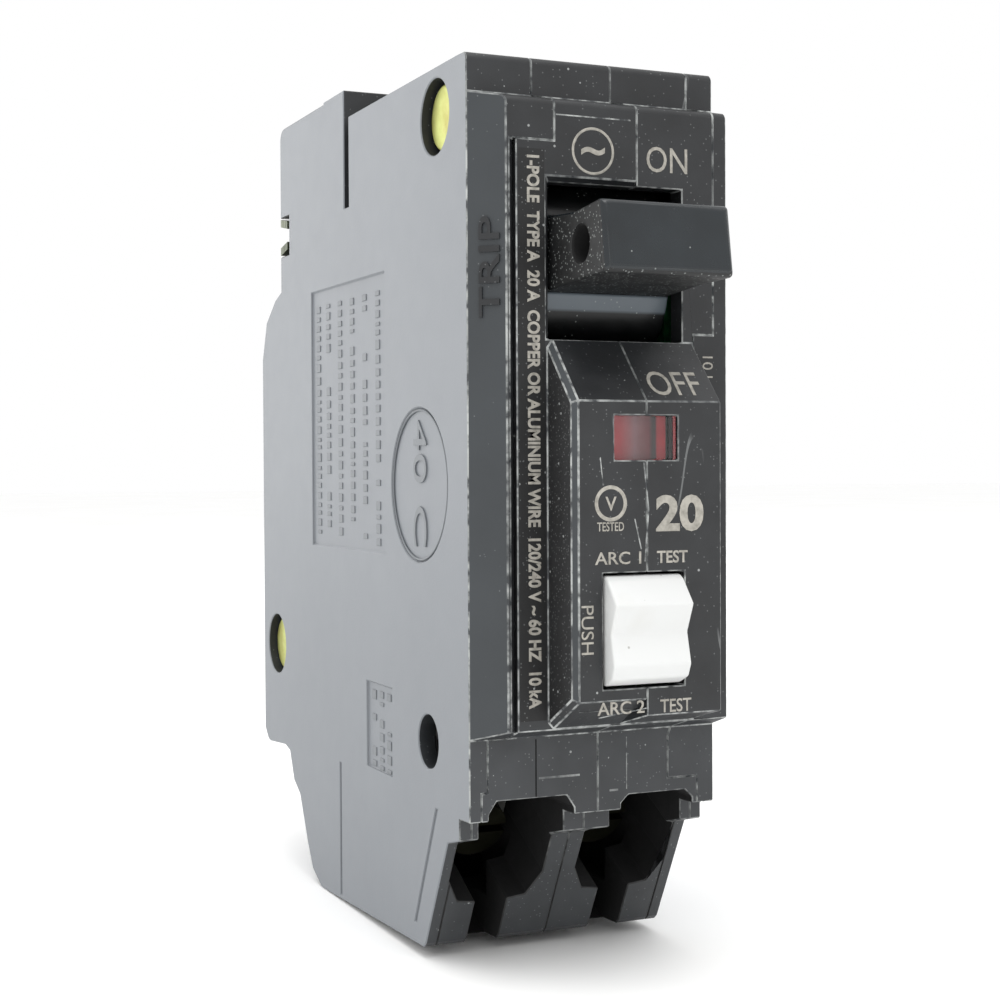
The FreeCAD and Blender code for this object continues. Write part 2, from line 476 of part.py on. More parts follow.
def whole_case():
    """The four mouldings as one, before it is split along its seams."""
    inner_top = (("ramp_start", "top_height"), ("ramp_end", "crown_height"))
    body = prism("case_outline", "x", "-half_width", "half_width", side_outline("skirt_face", *inner_top))
    rear_corners = [("crown_rear", "crown_height"), ("base_rear", "base_height")]
    rear_corners.append(("hook_lip_depth", "hook_lip_height"))
    face_corners = [("skirt_face", "top_height"), ("block_face", "block_head_face")]

    def lengthwise_at(corners):
        def wanted(middle, direction):
            near = [
                abs(middle.y - number(depth)) + abs(middle.z - number(height)) < SAME_PLACE
                for depth, height in corners
            ]
            return abs(direction.x) > ALONG_X and any(near)
        return wanted

    solid = softened("Part::Fillet", body, "outline_round", lengthwise_at(rear_corners))
    solid = softened("Part::Fillet", solid, "face_round", lengthwise_at(face_corners))
    chamfer = [
        ("-half_width - past_case", "skirt_face"), ("-half_width", "skirt_face"),
        ("chamfer_width - half_width", "block_face"),
        ("chamfer_width - half_width", "block_face - past_case"),
        ("-half_width - past_case", "block_face - past_case"),
    ]
    solid = cut(solid, prism("edge_chamfer", "z", "base_height", "crown_height", chamfer))
    left_top = [
        ("ramp_start - past_case", "top_height"), ("rail_slot_rear", "top_height"),
        ("rail_slot_rear", "crown_height + past_case"),
        ("ramp_start - past_case", "crown_height + past_case"),
    ]
    solid = cut(solid, prism("low_left_top", "x", "-half_width - past_case", "seam_left_top", left_top))
    nose_side, face_depth = number("nose_left"), number("block_face")

    def nose_left_edge(middle, direction):
        return middle.x < nose_side + SAME_PLACE and middle.y < face_depth and abs(direction.x) < ALONG_X

    left_half = nose_half("nose_left_half", "nose_left", "nose_split", "nose_foot_left")
    solid = fuse(
        solid,
        softened("Part::Chamfer", left_half, "nose_chamfer", nose_left_edge),
        nose_half("nose_right_half", "nose_split", "nose_right", "nose_foot_right"),
    )
    handle_place = ("handle_axis_depth", "handle_axis_height")
    hollows = [
        bay("left_bay", "bay_left", "web_left"),
        bay("right_bay", "web_right", "bay_right"),
        box(("nose_bay_left", "nose_bay_front", "bay_floor"),
            ("nose_bay_right", "web_window_rear", "nose_bay_top")),
        common(
            rod("x", "web_left - past_case", "web_right + past_case", handle_place, "drum_window_radius"),
            box(("web_left - past_case", "bay_front", "bay_floor"),
                ("web_right + past_case", "rear_face", "bay_front_top")),
        ),
    ]
    openings = [
        box(("handle_slot_left", "block_face - past_case", "handle_slot_foot"),
            ("handle_slot_right", "bay_front + past_case", "handle_slot_head")),
        slot_lead_in(),
        box(("window_left", "nose_face - past_case", "window_foot"),
            ("window_right", "nose_bay_front + past_case", "window_head")),
        box(("rocker_slot_left", "nose_face - past_case", "rocker_slot_foot"),
            ("rocker_slot_right", "nose_bay_front + past_case", "rocker_slot_head")),
        box(("-half_width - past_case", "bay_rear - past_case", "jaw_slot_foot"),
            ("jaw_slot_right", "crown_rear + past_case", "jaw_slot_head")),
        box(("-half_width - past_case", "rail_slot_front", "rail_slot_foot"),
            ("half_width + past_case", "rail_slot_rear", "crown_height + past_case")),
        box(("neutral_slot_left", "bay_back - past_case", "neutral_slot_foot"),
            ("neutral_slot_right", "rear_face + past_case", "neutral_slot_head")),
        skirt_cut("left_skirt_notch", "left_skirt_cut_left", "left_skirt_cut_right", "left_skirt_cut_head"),
        skirt_cut("right_skirt_notch", "right_skirt_cut_left", "right_skirt_cut_right",
                  "right_skirt_cut_head"),
        wire_mouth("left_wire_mouth", "left_mouth_middle"),
        wire_mouth("right_wire_mouth", "right_mouth_middle"),
        lug_chamber("left_mouth_middle"),
        lug_chamber("right_mouth_middle"),
        rod("x", "-half_width - past_case", "half_width + past_case",
            ("through_hole_depth", "through_hole_height"), "through_hole_radius"),
        rod("x", "rocker_pin_left", "rocker_pin_right",
            ("rocker_axis_depth", "rocker_axis_height"), "rocker_pin_radius"),
    ]
    outside = "half_width + past_case"
    for place in RIVET_PLACES:
        openings.append(rod("x", "-half_width", "half_width", place, "rivet_shank_radius"))
        openings.append(rod("x", f"-({outside})", "-rivet_recess_floor", place, "rivet_recess_radius"))
        openings.append(rod("x", "rivet_recess_floor", outside, place, "rivet_recess_radius"))
    return cut(solid, *hollows, *openings)


def seam_left():
    """Corners of the seam beside the left cover, from the base up, as (X, Z)."""
    return [
        ("seam_left_base", "base_height - past_case"), ("seam_left_base", "seam_skirt_step"),
        ("seam_left_skirt", "seam_skirt_step"), ("seam_left_skirt", "block_foot"),
        ("seam_left_block", "block_foot"), ("seam_left_block", "seam_left_step"),
        ("seam_left_head", "seam_left_step"), ("seam_left_head", "block_head"),
        ("seam_left_top", "block_head"), ("seam_left_top", "crown_height + past_case"),
    ]


def seam_middle():
    """Corners of the seam between the two cases."""
    return [
        ("seam_mid_base", "base_height - past_case"), ("seam_mid_base", "skirt_foot"),
        ("seam_mid_skirt", "skirt_foot"), ("seam_mid_skirt", "nose_foot_root"),
        ("nose_split", "nose_foot_root"), ("nose_split", "nose_ramp_head"),
        ("seam_mid_block", "nose_ramp_head"), ("seam_mid_block", "block_head"),
        ("seam_mid_top", "block_head"), ("seam_mid_top", "crown_height + past_case"),
    ]


def seam_right():
    """Corners of the seam beside the right cover."""
    return [
        ("seam_right_base", "base_height - past_case"), ("seam_right_base", "skirt_foot"),
        ("seam_right_skirt", "skirt_foot"), ("seam_right_skirt", "seam_skirt_step"),
        ("seam_right_neck", "seam_skirt_step"), ("seam_right_neck", "seam_right_elbow"),
        ("seam_right_nose", "seam_right_knee"), ("seam_right_nose", "seam_right_step"),
        ("seam_right_block", "seam_right_step"), ("seam_right_block", "block_head"),
        ("seam_right_top", "block_head"), ("seam_right_top", "crown_height + past_case"),
    ]


def between(name, left_seam, right_seam):
    """The slab of space between two seams, as deep as the housing."""
    corners = left_seam + right_seam[::-1]
    return prism(name, "y", "nose_face - past_face", "rear_face + past_case", corners)


def outer_line(sign):
    """A straight line outside the housing, in place of a seam."""
    across = f"{sign}(half_width + past_case)"
    return [(across, "base_height - past_case"), (across, "crown_height + past_case")]


def left_relief():
    """Shallow sunk shapes on the face of the left cover."""
    outside, floor = "-half_width - past_case", "relief - half_width"
    plate = box((outside, "plate_front", "plate_foot"), (floor, "plate_rear", "plate_head"))
    panel = box((outside, "panel_front", "panel_foot"), (floor, "panel_rear", "panel_head"))
    disc = rod("x", outside, floor, ("disc_depth", "disc_height"), "disc_radius")
    groove = box((outside, "rear_groove_depth - groove_half", "rear_groove_foot"),
                 (floor, "rear_groove_depth + groove_half", "rear_groove_head"))
    sunk_rear = [
        ("bevel_low_depth", "bevel_low_height"), ("crown_rear + past_case", "bevel_rear_height"),
        ("crown_rear + past_case", "crown_height + past_case"),
        ("bevel_low_depth", "crown_height + past_case"),
    ]
    rear_corner = prism("sunk_rear_corner", "x", outside, "bevel_drop - half_width", sunk_rear)
    upper, lower = "slope_top_depth + slope_groove_inset", "slope_foot_depth + slope_groove_inset"
    slope_line = [
        (upper, "ledge_top"), (f"{upper} + groove_half * 2", "ledge_top"),
        (f"{lower} + groove_half * 2", "slope_foot_height + past_case"),
        (lower, "slope_foot_height + past_case"),
    ]
    slope_groove = prism("slope_groove", "x", outside, floor, slope_line)
    return [plate, panel, disc, groove, rear_corner, slope_groove]


def make_housing():
    """The two covers and the two cases between them."""
    case = whole_case()
    axis_place = ("handle_axis_depth", "handle_axis_height")
    left = common(case, between("left_zone", outer_line("-"), seam_left()))
    left_boss = rod("x", "bay_left", "left_boss_end", axis_place, "boss_radius")
    shelf = box(("bay_left", "spring_shelf_front", "spring_shelf_foot"),
                ("arm_right", "spring_shelf_rear", "spring_shelf_head"))
    left_bore = rod("x", "-handle_pin_end", "left_boss_end", axis_place, "handle_pin_radius")
    seam_slope = prism("seam_slope", "z", "block_foot", "seam_left_step", [
        ("seam_left_block - seam_chamfer", "block_face - past_case"),
        ("seam_left_block + past_case", "block_face - past_case"),
        ("seam_left_block + past_case", "block_face + seam_chamfer"),
        ("seam_left_block", "block_face + seam_chamfer"), ("seam_left_block - seam_chamfer", "block_face"),
    ])
    keep(cut(fuse(left, left_boss, shelf), left_bore, seam_slope, *left_relief()), "left_cover")
    middle_left = common(case, between("breaker_zone", seam_left(), seam_middle()))
    keep(middle_left, "breaker_case")
    middle_right = common(case, between("electronics_zone", seam_middle(), seam_right()))
    keep(middle_right, "electronics_case")
    right = common(case, between("right_zone", seam_right(), outer_line("")))
    right_boss = rod("x", "right_boss_end", "bay_right", axis_place, "boss_radius")
    right_bore = rod("x", "right_boss_end", "handle_pin_end", axis_place, "handle_pin_radius")
    keep(cut(fuse(right, right_boss), right_bore), "right_cover")


def make_rivets():
    """Two tubular rivets right through the housing, with a head in each recess."""
    pieces = []
    for place in RIVET_PLACES:
        pieces.append(fuse(
            rod("x", "-rivet_recess_floor", "rivet_recess_floor", place, "rivet_shank_radius"),
            rod("x", "-rivet_head_outer", "-rivet_recess_floor", place, "rivet_head_radius"),
            rod("x", "rivet_recess_floor", "rivet_head_outer", place, "rivet_head_radius"),
        ))
    keep(group(*pieces), "rivets")


# ---------------------------------------------------------------- handle
def make_handle():
    """The operating handle: a square bar on a drum that turns on a pin."""
    place = ("handle_axis_depth", "handle_axis_height")
    outline = [
        ("bar_head_depth", "bar_head_height"), ("bar_foot_depth", "bar_foot_height"),
        ("lever_waist_depth", "lever_waist_foot"), ("lever_root_depth", "lever_root_foot"),
        ("lever_root_depth", "lever_root_head"), ("lever_waist_depth", "lever_waist_head"),
    ]
    lever = prism("lever", "x", "handle_left", "handle_right", outline)
    front = number("bar_head_depth") + number("bar_round")
    waist = number("lever_waist_depth")

    def bar_edges(middle, direction):
        ends = abs(direction.x) < 1 - ALONG_X and middle.y < front
        lengthwise = abs(direction.x) > ALONG_X and middle.y < waist - SAME_PLACE
        return ends or lengthwise

    lever = softened("Part::Fillet", lever, "bar_round", bar_edges)
    drum = rod("x", "handle_left", "handle_right", place, "drum_radius")
    slab = box(("handle_left", "handle_axis_depth - drum_radius", "handle_axis_height - drum_half_height"),
               ("handle_right", "drum_chord", "handle_axis_height + drum_half_height"))
    hollow = rod("x", "handle_left + drum_cheek", "handle_right - drum_cheek", place, "drum_hollow_radius")
    drum = cut(common(drum, slab), hollow)
    bore = rod("x", "handle_left", "handle_right", place, "handle_bore_radius")
    tie_place = ("tie_hole_depth", "tie_hole_height")
    tie_hole = rod("x", "handle_left", "handle_right", tie_place, "tie_hole_radius")
    keep(cut(fuse(lever, drum), bore, tie_hole), "handle")
    keep(rod("x", "-handle_pin_end", "handle_pin_end", place, "handle_pin_radius"), "handle_pin")


# ---------------------------------------------------------------- switching parts
def make_contact_arm():
    """The moving contact arm, its pivot pin and its contact button."""
    axis_place = ("arm_axis_depth", "arm_axis_height")
    outline = [
        ("arm_axis_depth", "arm_axis_height + arm_hub_radius"), ("arm_elbow_depth", "arm_elbow_head"),
        ("arm_heel_depth", "arm_tip_head"), ("arm_tip_depth", "arm_tip_head"),
        ("arm_tip_depth", "arm_tip_foot"), ("arm_heel_depth", "arm_tip_foot"),
        ("arm_elbow_depth", "arm_elbow_foot"), ("arm_axis_depth", "arm_axis_height - arm_hub_radius"),
    ]
    blade = prism("arm_blade", "x", "arm_left", "arm_right", outline)
    hub = rod("x", "arm_left", "arm_right", axis_place, "arm_hub_radius")
    bore = rod("x", "arm_left", "arm_right", axis_place, "arm_bore_radius")
    keep(cut(fuse(blade, hub), bore), "contact_arm")
    keep(rod("x", "arm_pin_left", "arm_pin_right", axis_place, "arm_pin_radius"), "contact_arm_pin")
    middle = ("(arm_left + arm_right) / 2", "contact_depth")
    keep(rod("z", "arm_tip_head", "moving_contact_top", middle, "contact_radius"), "moving_contact")
    keep(rod("z", "fixed_contact_foot", "strap_foot", middle, "fixed_contact_radius"), "fixed_contact")
    strap = box(("strap_left", "strap_front", "strap_foot"), ("strap_right", "strap_rear", "strap_head"))
    keep(strap, "line_strap")
    keep(spiral("arm_spring_wire", "z", "arm_spring_foot", "arm_spring_head",
                ("(arm_left + arm_right) / 2", "arm_spring_depth"), "arm_spring_radius", "arm_spring_turns"),
         "contact_arm_spring")


def spring_jaw(kind, heel, middle):
    """A two-leaf clip, open to the rear, that grips a blade across its pinch."""
    stations = [("root", "outer_half"), ("pinch", "pinch_outer"), ("lip", "lip_outer")]
    stations += [("lip", "lip_inner"), ("pinch", "pinch_inner"), ("root", "inner_half")]

    def leaf(sign):
        return [(f"{kind}_{depth}", f"{middle} {sign} {kind}_{half}") for depth, half in stations]

    back = [(heel, f"{middle} - {kind}_outer_half"), (heel, f"{middle} + {kind}_outer_half")]
    corners = back + leaf("+") + leaf("-")[::-1]
    return prism(f"{kind}_leaves", "x", f"{kind}_left", f"{kind}_right", corners)


def make_plug_on_clips():
    """The line jaw, with ears that reach out to the left face, and the neutral clip at the rear."""
    leaves = spring_jaw("jaw", "strap_rear", "(strap_foot + strap_head) / 2")
    inside_wall = box(("-half_width", "slot_wall_front", "jaw_wall_foot"),
                      ("jaw_neck", "jaw_ear_front", "bay_crown"))
    keep(cut(leaves, inside_wall), "line_jaw")
    keep(spring_jaw("clip", "neutral_rear", "(neutral_foot + neutral_head) / 2"), "neutral_clip")


def make_cradle():
    """The latched lever that lets the contacts spring open on a trip."""
    axis_place = ("cradle_axis_depth", "cradle_axis_height")
    outline = [
        ("cradle_axis_depth - cradle_half", "cradle_axis_height"),
        ("cradle_axis_depth + cradle_half", "cradle_axis_height"),
        ("cradle_tip_depth + cradle_half * 2", "cradle_tip_height"),
        ("cradle_tip_depth", "cradle_tip_height"), ("cradle_tip_depth", "cradle_tip_height + cradle_half"),
        ("cradle_tip_depth + cradle_half", "cradle_tip_height + cradle_half * 2"),
    ]
    blade = prism("cradle_blade", "x", "cradle_left", "cradle_right", outline)
    hub = rod("x", "cradle_left", "cradle_right", axis_place, "cradle_hub_radius")
    bore = rod("x", "cradle_left", "cradle_right", axis_place, "cradle_bore_radius")
    keep(cut(fuse(blade, hub), bore), "cradle")
    keep(rod("x", "cradle_pin_left", "cradle_pin_right", axis_place, "cradle_pin_radius"), "cradle_pin")


# ---------------------------------------------------------------- trip parts
def make_thermal_trip():
    """Bimetal on the load strap, magnet yoke round it, and the hinged armature in front."""
    keep(box(("bimetal_left", "bimetal_front", "load_strap_head"),
             ("bimetal_right", "bimetal_rear", "bimetal_head")), "bimetal")
    keep(box(("bimetal_left", "load_strap_front", "load_strap_foot"),
             ("bimetal_right", "load_strap_rear", "load_strap_head")), "load_strap")
    room = box(("yoke_left + yoke_wall", "yoke_front", "yoke_foot"),
               ("yoke_right - yoke_wall", "yoke_back - yoke_back_wall", "yoke_head"))
    yoke = cut(box(("yoke_left", "yoke_front", "yoke_foot"), ("yoke_right", "yoke_back", "yoke_head")), room)
    keep(yoke, "magnet_yoke")
    plate = box(("armature_left", "armature_front", "armature_foot"),
                ("armature_right", "armature_rear", "armature_head"))
    axis_place = ("(armature_front + armature_rear) / 2", "armature_axis_height")
    hub = rod("x", "armature_left", "armature_right", axis_place, "armature_hub_radius")
    bore = rod("x", "armature_left", "armature_right", axis_place, "armature_bore_radius")
    window = rod("y", "armature_front - past_case", "armature_rear + past_case",
                 ("solenoid_middle", "solenoid_height"), "armature_hole_radius")
    keep(cut(fuse(plate, hub), bore, window), "armature")
    pin = rod("x", "armature_pin_left", "armature_pin_right", axis_place, "armature_pin_radius")
    keep(pin, "armature_pin")


def make_braid():
    """A round flexible conductor: up from the bimetal, one bend, then forward to the contact arm."""
    middle = number("braid_middle")
    start = FreeCAD.Vector(middle, number("braid_depth"), number("braid_foot"))
    knee = FreeCAD.Vector(middle, number("braid_depth"), number("braid_knee"))
    end = FreeCAD.Vector(middle, number("braid_end_depth"), number("braid_end_height"))
    incoming, outgoing = (knee - start).normalize(), (end - knee).normalize()
    turn = incoming.getAngle(outgoing)
    bend = number("braid_bend")
    before = knee - incoming * bend * math.tan(turn / 2)
    after = knee + outgoing * bend * math.tan(turn / 2)
    inward = (outgoing - incoming).normalize()
    crown = knee + inward * bend * (1 / math.cos(turn / 2) - 1)
    edges = [
        Part.LineSegment(start, before).toShape(), Part.Arc(before, crown, after).toShape(),
        Part.LineSegment(after, end).toShape(),
    ]
    ring = Part.makeCircle(number("braid_radius"), start, incoming)
    item = doc.addObject("Part::Feature", "braid_run")
    item.Shape = Part.Wire(edges).makePipeShell([Part.Wire(ring)], True, False)
    keep(item, "braid")


def make_solenoid():
    """Coil, frame, plunger and return spring of the trip solenoid."""
    centre = ("solenoid_middle", "solenoid_height")
    coil = rod("y", "coil_front", "coil_rear", centre, "coil_radius")
    keep(cut(coil, rod("y", "coil_front", "coil_rear", centre, "coil_core_radius")), "trip_coil")
    low, high = "solenoid_height - frame_foot_drop", "solenoid_height + frame_half"
    left, right = "solenoid_middle - frame_half", "solenoid_middle + frame_half"
    front = box((left, "frame_front", low), (right, "frame_front + frame_wall", high))
    rear = box((left, "frame_rear - frame_wall", low), (right, "frame_rear", high))
    foot = box((left, "frame_front", low), (right, "frame_rear", f"{low} + frame_wall"))
    bore = rod("y", "frame_front", "frame_front + frame_wall", centre, "frame_bore_radius")
    keep(cut(fuse(front, rear, foot), bore), "solenoid_frame")
    core = rod("y", "plunger_neck", "plunger_rear", centre, "plunger_radius")
    stem = rod("y", "plunger_front", "plunger_neck", centre, "plunger_rod_radius")
    button = rod("y", "plunger_front - plunger_button", "plunger_front", centre, "plunger_button_radius")
    collar = rod("y", "collar_front", "collar_rear", centre, "collar_radius")
    keep(fuse(core, stem, button, collar), "solenoid_plunger")
    keep(spiral("plunger_spring_wire", "y", "plunger_spring_front", "plunger_spring_rear",
                centre, "plunger_spring_radius", "plunger_spring_turns"), "plunger_spring")


def make_arc_chute():
    """Steel splitter plates with a notch for the contact arm, held in fibre side walls."""
    plates = []
    for index in range(round(number("chute_plates"))):
        foot = f"chute_first + chute_pitch * {index}"
        plate = box(("chute_left + chute_side", "chute_front", foot),
                    ("chute_right - chute_side", "chute_rear", f"{foot} + chute_plate"))
        middle = "(chute_left + chute_right) / 2"
        notch = box((f"{middle} - chute_notch_half", "chute_front", foot),
                    (f"{middle} + chute_notch_half", "chute_notch_rear", f"{foot} + chute_plate"))
        plates.append(cut(plate, notch))
    keep(group(*plates), "arc_plates")
    walls = [
        box(("chute_left", "chute_front", "chute_foot"),
            ("chute_left + chute_side", "chute_rear", "chute_head")),
        box(("chute_right - chute_side", "chute_front", "chute_foot"),
            ("chute_right", "chute_rear", "chute_head")),
    ]
    keep(group(*walls), "arc_chute_walls")


# ---------------------------------------------------------------- wire terminals
def make_terminal(prefix, middle):
    """A screw terminal: fixed lug, sliding plate and slotted screw, square to the sloping face."""
    axis = (ZERO, ZERO)
    screw = fuse(
        rod("z", "screw_head_inner", "screw_head_outer", axis, "screw_head_radius"),
        rod("z", "screw_tip", "screw_head_inner", axis, "screw_shank_radius"),
    )
    slot = box(("-screw_head_radius", "-screw_slot / 2", "screw_head_outer - screw_slot_depth"),
               ("screw_head_radius", "screw_slot / 2", "screw_head_outer"))
    keep(tilt_to_terminal(cut(screw, slot), middle), f"{prefix}_screw")
    plate = box(("-clamp_half_width", "-clamp_half", "clamp_inner"),
                ("clamp_half_width", "clamp_half", "clamp_outer"))
    bore = rod("z", "clamp_inner", "clamp_outer", axis, "clamp_bore_radius")
    keep(tilt_to_terminal(cut(plate, bore), middle), f"{prefix}_pressure_plate")
    base = box(("-lug_half_width", "-lug_half", "lug_inner"), ("lug_half_width", "lug_head", "lug_outer"))
    bore = rod("z", "lug_inner", "lug_outer", axis, "lug_bore_radius")
    keep(tilt_to_terminal(cut(base, bore), middle), f"{prefix}_lug")


# ---------------------------------------------------------------- electronics
def make_electronics():
    """Circuit board with its parts, current sensor, neutral strap."""
    board = prism("board_outline", "x", "board_left", "board_right", [
        ("board_front", "board_foot"), ("board_rear", "board_foot"),
        ("board_rear", "board_head"), ("board_front", "board_head"),
    ], holes=[(("handle_axis_depth", "handle_axis_height"), "board_hole_radius")])
    keep(board, "circuit_board")
    chips = []
    for chip in CHIPS:
        front, foot = f"{chip}_depth - {chip}_deep / 2", f"{chip}_height - {chip}_tall / 2"
        rear, head = f"{chip}_depth + {chip}_deep / 2", f"{chip}_height + {chip}_tall / 2"
        chips.append(box(("board_left - chip_height", front, foot), ("board_left", rear, head)))
    keep(group(*chips), "control_chips")
    keep(rod("x", "board_left - varistor_thick", "board_left", ("varistor_depth", "varistor_height"),
             "varistor_radius"), "varistor")
    cans = []
    for index in range(round(number("capacitor_count"))):
        place = ("capacitor_middle", f"capacitor_depth + capacitor_pitch * {index}")
        head = "capacitor_foot + capacitor_length"
        cans.append(rod("z", "capacitor_foot", head, place, "capacitor_radius"))
    keep(group(*cans), "capacitors")
    ring = doc.addObject("Part::Torus", "ring")
    ring.Placement = FreeCAD.Placement(FreeCAD.Vector(), TURN_TO["y"])
    bind(ring, "Radius1", "sensor_radius")
    bind(ring, "Radius2", "sensor_section")
    bind(ring, "Placement.Base.x", "sensor_middle")
    bind(ring, "Placement.Base.y", "sensor_depth")
    bind(ring, "Placement.Base.z", "sensor_height")
    keep(ring, "current_sensor")
    keep(box(("neutral_left", "neutral_front", "neutral_foot"),
             ("neutral_right", "neutral_rear", "neutral_head")), "neutral_strap")


# ---------------------------------------------------------------- test rocker, window and flag
def make_rocker():
    """The two-way test rocker, its pin and the push switches behind it."""
    outline = [
        ("rocker_rear", "rocker_foot"), ("rocker_rim_depth", "rocker_foot"),
        ("rocker_low_knee", "rocker_low_height"), ("rocker_lower_hump", "rocker_lower_height"),
        ("rocker_valley", "rocker_valley_height"),
        ("rocker_upper_hump", "rocker_upper_height"), ("rocker_top_rise", "rocker_top_knee"),
        ("rocker_rim_depth", "rocker_head"), ("rocker_rear", "rocker_head"),
    ]
    button = prism("rocker_button", "x", "rocker_left", "rocker_right", outline)
    leg_feet = ("rocker_foot + rocker_leg_inset", "rocker_head - rocker_leg_inset - rocker_leg_thick")
    legs = []
    for start in leg_feet:
        left_foot = ("switch_left + rocker_leg_inset", "rocker_rear", start)
        right_head = ("switch_right - rocker_leg_inset", "rocker_leg_rear", f"{start} + rocker_leg_thick")
        legs.append(box(left_foot, right_head))
    place = ("rocker_axis_depth", "rocker_axis_height")
    bore = rod("x", "rocker_left", "rocker_right", place, "rocker_bore_radius")
    keep(cut(fuse(button, *legs), bore), "test_rocker")
    keep(rod("x", "rocker_pin_left", "rocker_pin_right", place, "rocker_pin_radius"), "rocker_pin")
    switches = []
    for start in leg_feet:
        middle = f"{start} + rocker_leg_thick / 2"
        switch = box(("switch_left", "switch_body_front", f"{middle} - switch_half"),
                     ("switch_right", "switch_rear", f"{middle} + switch_half"))
        plunger = rod("y", "switch_front", "switch_body_front",
                      ("(switch_left + switch_right) / 2", middle), "switch_button_radius")
        switches.append(fuse(switch, plunger))
    keep(group(*switches), "test_switches")
    keep(box(("switch_board_left", "switch_rear", "switch_board_foot"),
             ("switch_board_right", "switch_board_rear", "switch_board_head")), "switch_board")


def make_window():
    """The clear lens and the trip flag that slides behind it."""
    keep(box(("window_left + lens_gap", "lens_front", "window_foot + lens_gap"),
             ("window_right - lens_gap", "lens_rear", "window_head - lens_gap")), "indicator_lens")
    plate = box(("flag_left", "flag_front", "flag_foot"), ("flag_right", "flag_rear", "flag_head"))
    stem = box(("flag_stem_left", "flag_rear", "flag_stem_foot"),
               ("flag_stem_right", "flag_stem_rear", "flag_stem_head"))
    keep(fuse(plate, stem), "trip_flag")


make_housing()
make_rivets()
make_handle()
make_contact_arm()
make_plug_on_clips()
make_cradle()
make_thermal_trip()
make_braid()
make_solenoid()
make_arc_chute()
make_terminal("load", "left_mouth_middle")
make_terminal("neutral", "right_mouth_middle")
make_electronics()
make_rocker()
make_window()

# ---------------------------------------------------------------- checks and files
doc.recompute()
for item in doc.Objects:
    if {"Invalid", "Error"} & set(item.State):
        raise RuntimeError(f"{item.Name} ({item.Label}) did not build: {item.State}")
for item in sub_parts:
    if item.Shape.isNull() or not item.Shape.isValid():
        raise RuntimeError(f"{item.Label} has no valid shape")

os.makedirs("parts", exist_ok=True)
for item in sub_parts:
    item.Shape.exportStep(f"parts/{item.Label}.step")
    print(f"{item.Label:22s} {len(item.Shape.Solids)} solid(s) {item.Shape.Volume:10.1f} mm3")
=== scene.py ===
# %% [markdown]
# Arc-fault circuit breaker.
# The real breaker is four black thermoset mouldings riveted into a block one inch wide, with a
# glossy handle, a white test rocker and a small red flag behind a clear window. The measured model
# arrives as a fixed frame. This lesson gives it rubbed edges, print, dust and lamps.

# %% Load the measured frame
import json
import math
import random

import bmesh
import bpy
from mathutils import Matrix, Vector


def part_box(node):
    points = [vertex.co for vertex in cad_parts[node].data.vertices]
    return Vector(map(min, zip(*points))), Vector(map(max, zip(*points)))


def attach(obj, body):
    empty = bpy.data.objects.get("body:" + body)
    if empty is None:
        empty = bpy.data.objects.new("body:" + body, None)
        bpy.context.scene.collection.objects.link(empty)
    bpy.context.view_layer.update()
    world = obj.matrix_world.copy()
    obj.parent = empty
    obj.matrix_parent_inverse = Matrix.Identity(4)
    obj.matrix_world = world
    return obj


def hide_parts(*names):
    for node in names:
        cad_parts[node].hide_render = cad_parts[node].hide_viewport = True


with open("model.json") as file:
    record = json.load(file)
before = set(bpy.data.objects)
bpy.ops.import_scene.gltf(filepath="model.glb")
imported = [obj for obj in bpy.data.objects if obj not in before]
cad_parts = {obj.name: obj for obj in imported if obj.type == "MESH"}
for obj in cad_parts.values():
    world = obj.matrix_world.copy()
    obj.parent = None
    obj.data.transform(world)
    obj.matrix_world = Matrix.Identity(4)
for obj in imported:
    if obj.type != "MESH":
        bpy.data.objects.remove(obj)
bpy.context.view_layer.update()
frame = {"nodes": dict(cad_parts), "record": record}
MM = 0.001
print("loaded", len(frame["nodes"]), "nodes")

# %% [markdown]
# The frame tells where each surface lies. The nose is the raised middle of the face, the block is
# the plane behind it, and the ramp climbs from the nose up to the handle.

# %% Read the main planes from the frame
HOUSING = "housing"
nose_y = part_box("breaker_case")[0].y
block_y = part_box("left_cover")[0].y
left_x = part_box("left_cover")[0].x
for plane_name, place in (("nose", nose_y), ("block", block_y), ("left side", left_x)):
    print(plane_name, round(place / MM, 2))


# %% [markdown]
# Colours are written the way a paint chart gives them, in sRGB hex, and one function turns them to
# the linear values that a shader works in. One more function adds a node with its settings and
# links, so that each material below reads as a short recipe.

# %% Colour and node helpers
def linear(chart_colour):
    """A chart colour such as 3A3B3C as linear red, green, blue and alpha."""
    channels = []
    for start in (0, 2, 4):
        share = int(chart_colour[start:start + 2], 16) / 255
        channels.append(share / 12.92 if share <= 0.04045 else ((share + 0.055) / 1.055) ** 2.4)
    return (*channels, 1.0)


def add_node(tree, kind, values=None, links=None, **settings):
    """Adds one node, sets its properties and input values, and links other sockets into it."""
    node = tree.nodes.new(kind)
    for name, setting in settings.items():
        setattr(node, name, setting)
    for name, number in (values or {}).items():
        node.inputs[name].default_value = number
    for name, socket in (links or {}).items():
        tree.links.new(socket, node.inputs[name])
    return node


def new_material(name, **values):
    """A material with one shader on its output; values name the shader's sockets."""
    material = bpy.data.materials.new(name)
    material.use_nodes = True
    shader = material.node_tree.nodes["Principled BSDF"]
    for socket, number in values.items():
        shader.inputs[socket.replace("_", " ")].default_value = number
    return material, material.node_tree, shader


def per_size(size_mm):
    """The texture scale that gives features of a size in millimetres."""
    return 1 / (size_mm * MM)


def object_place(tree):
    """The place on the part, in its own coordinates, that every pattern reads."""
    return add_node(tree, "ShaderNodeTexCoord").outputs["Object"]


def one_axis(tree, axis):
    """One coordinate of the place on the part."""
    parts = add_node(tree, "ShaderNodeSeparateXYZ", links={0: object_place(tree)})
    return parts.outputs[axis]


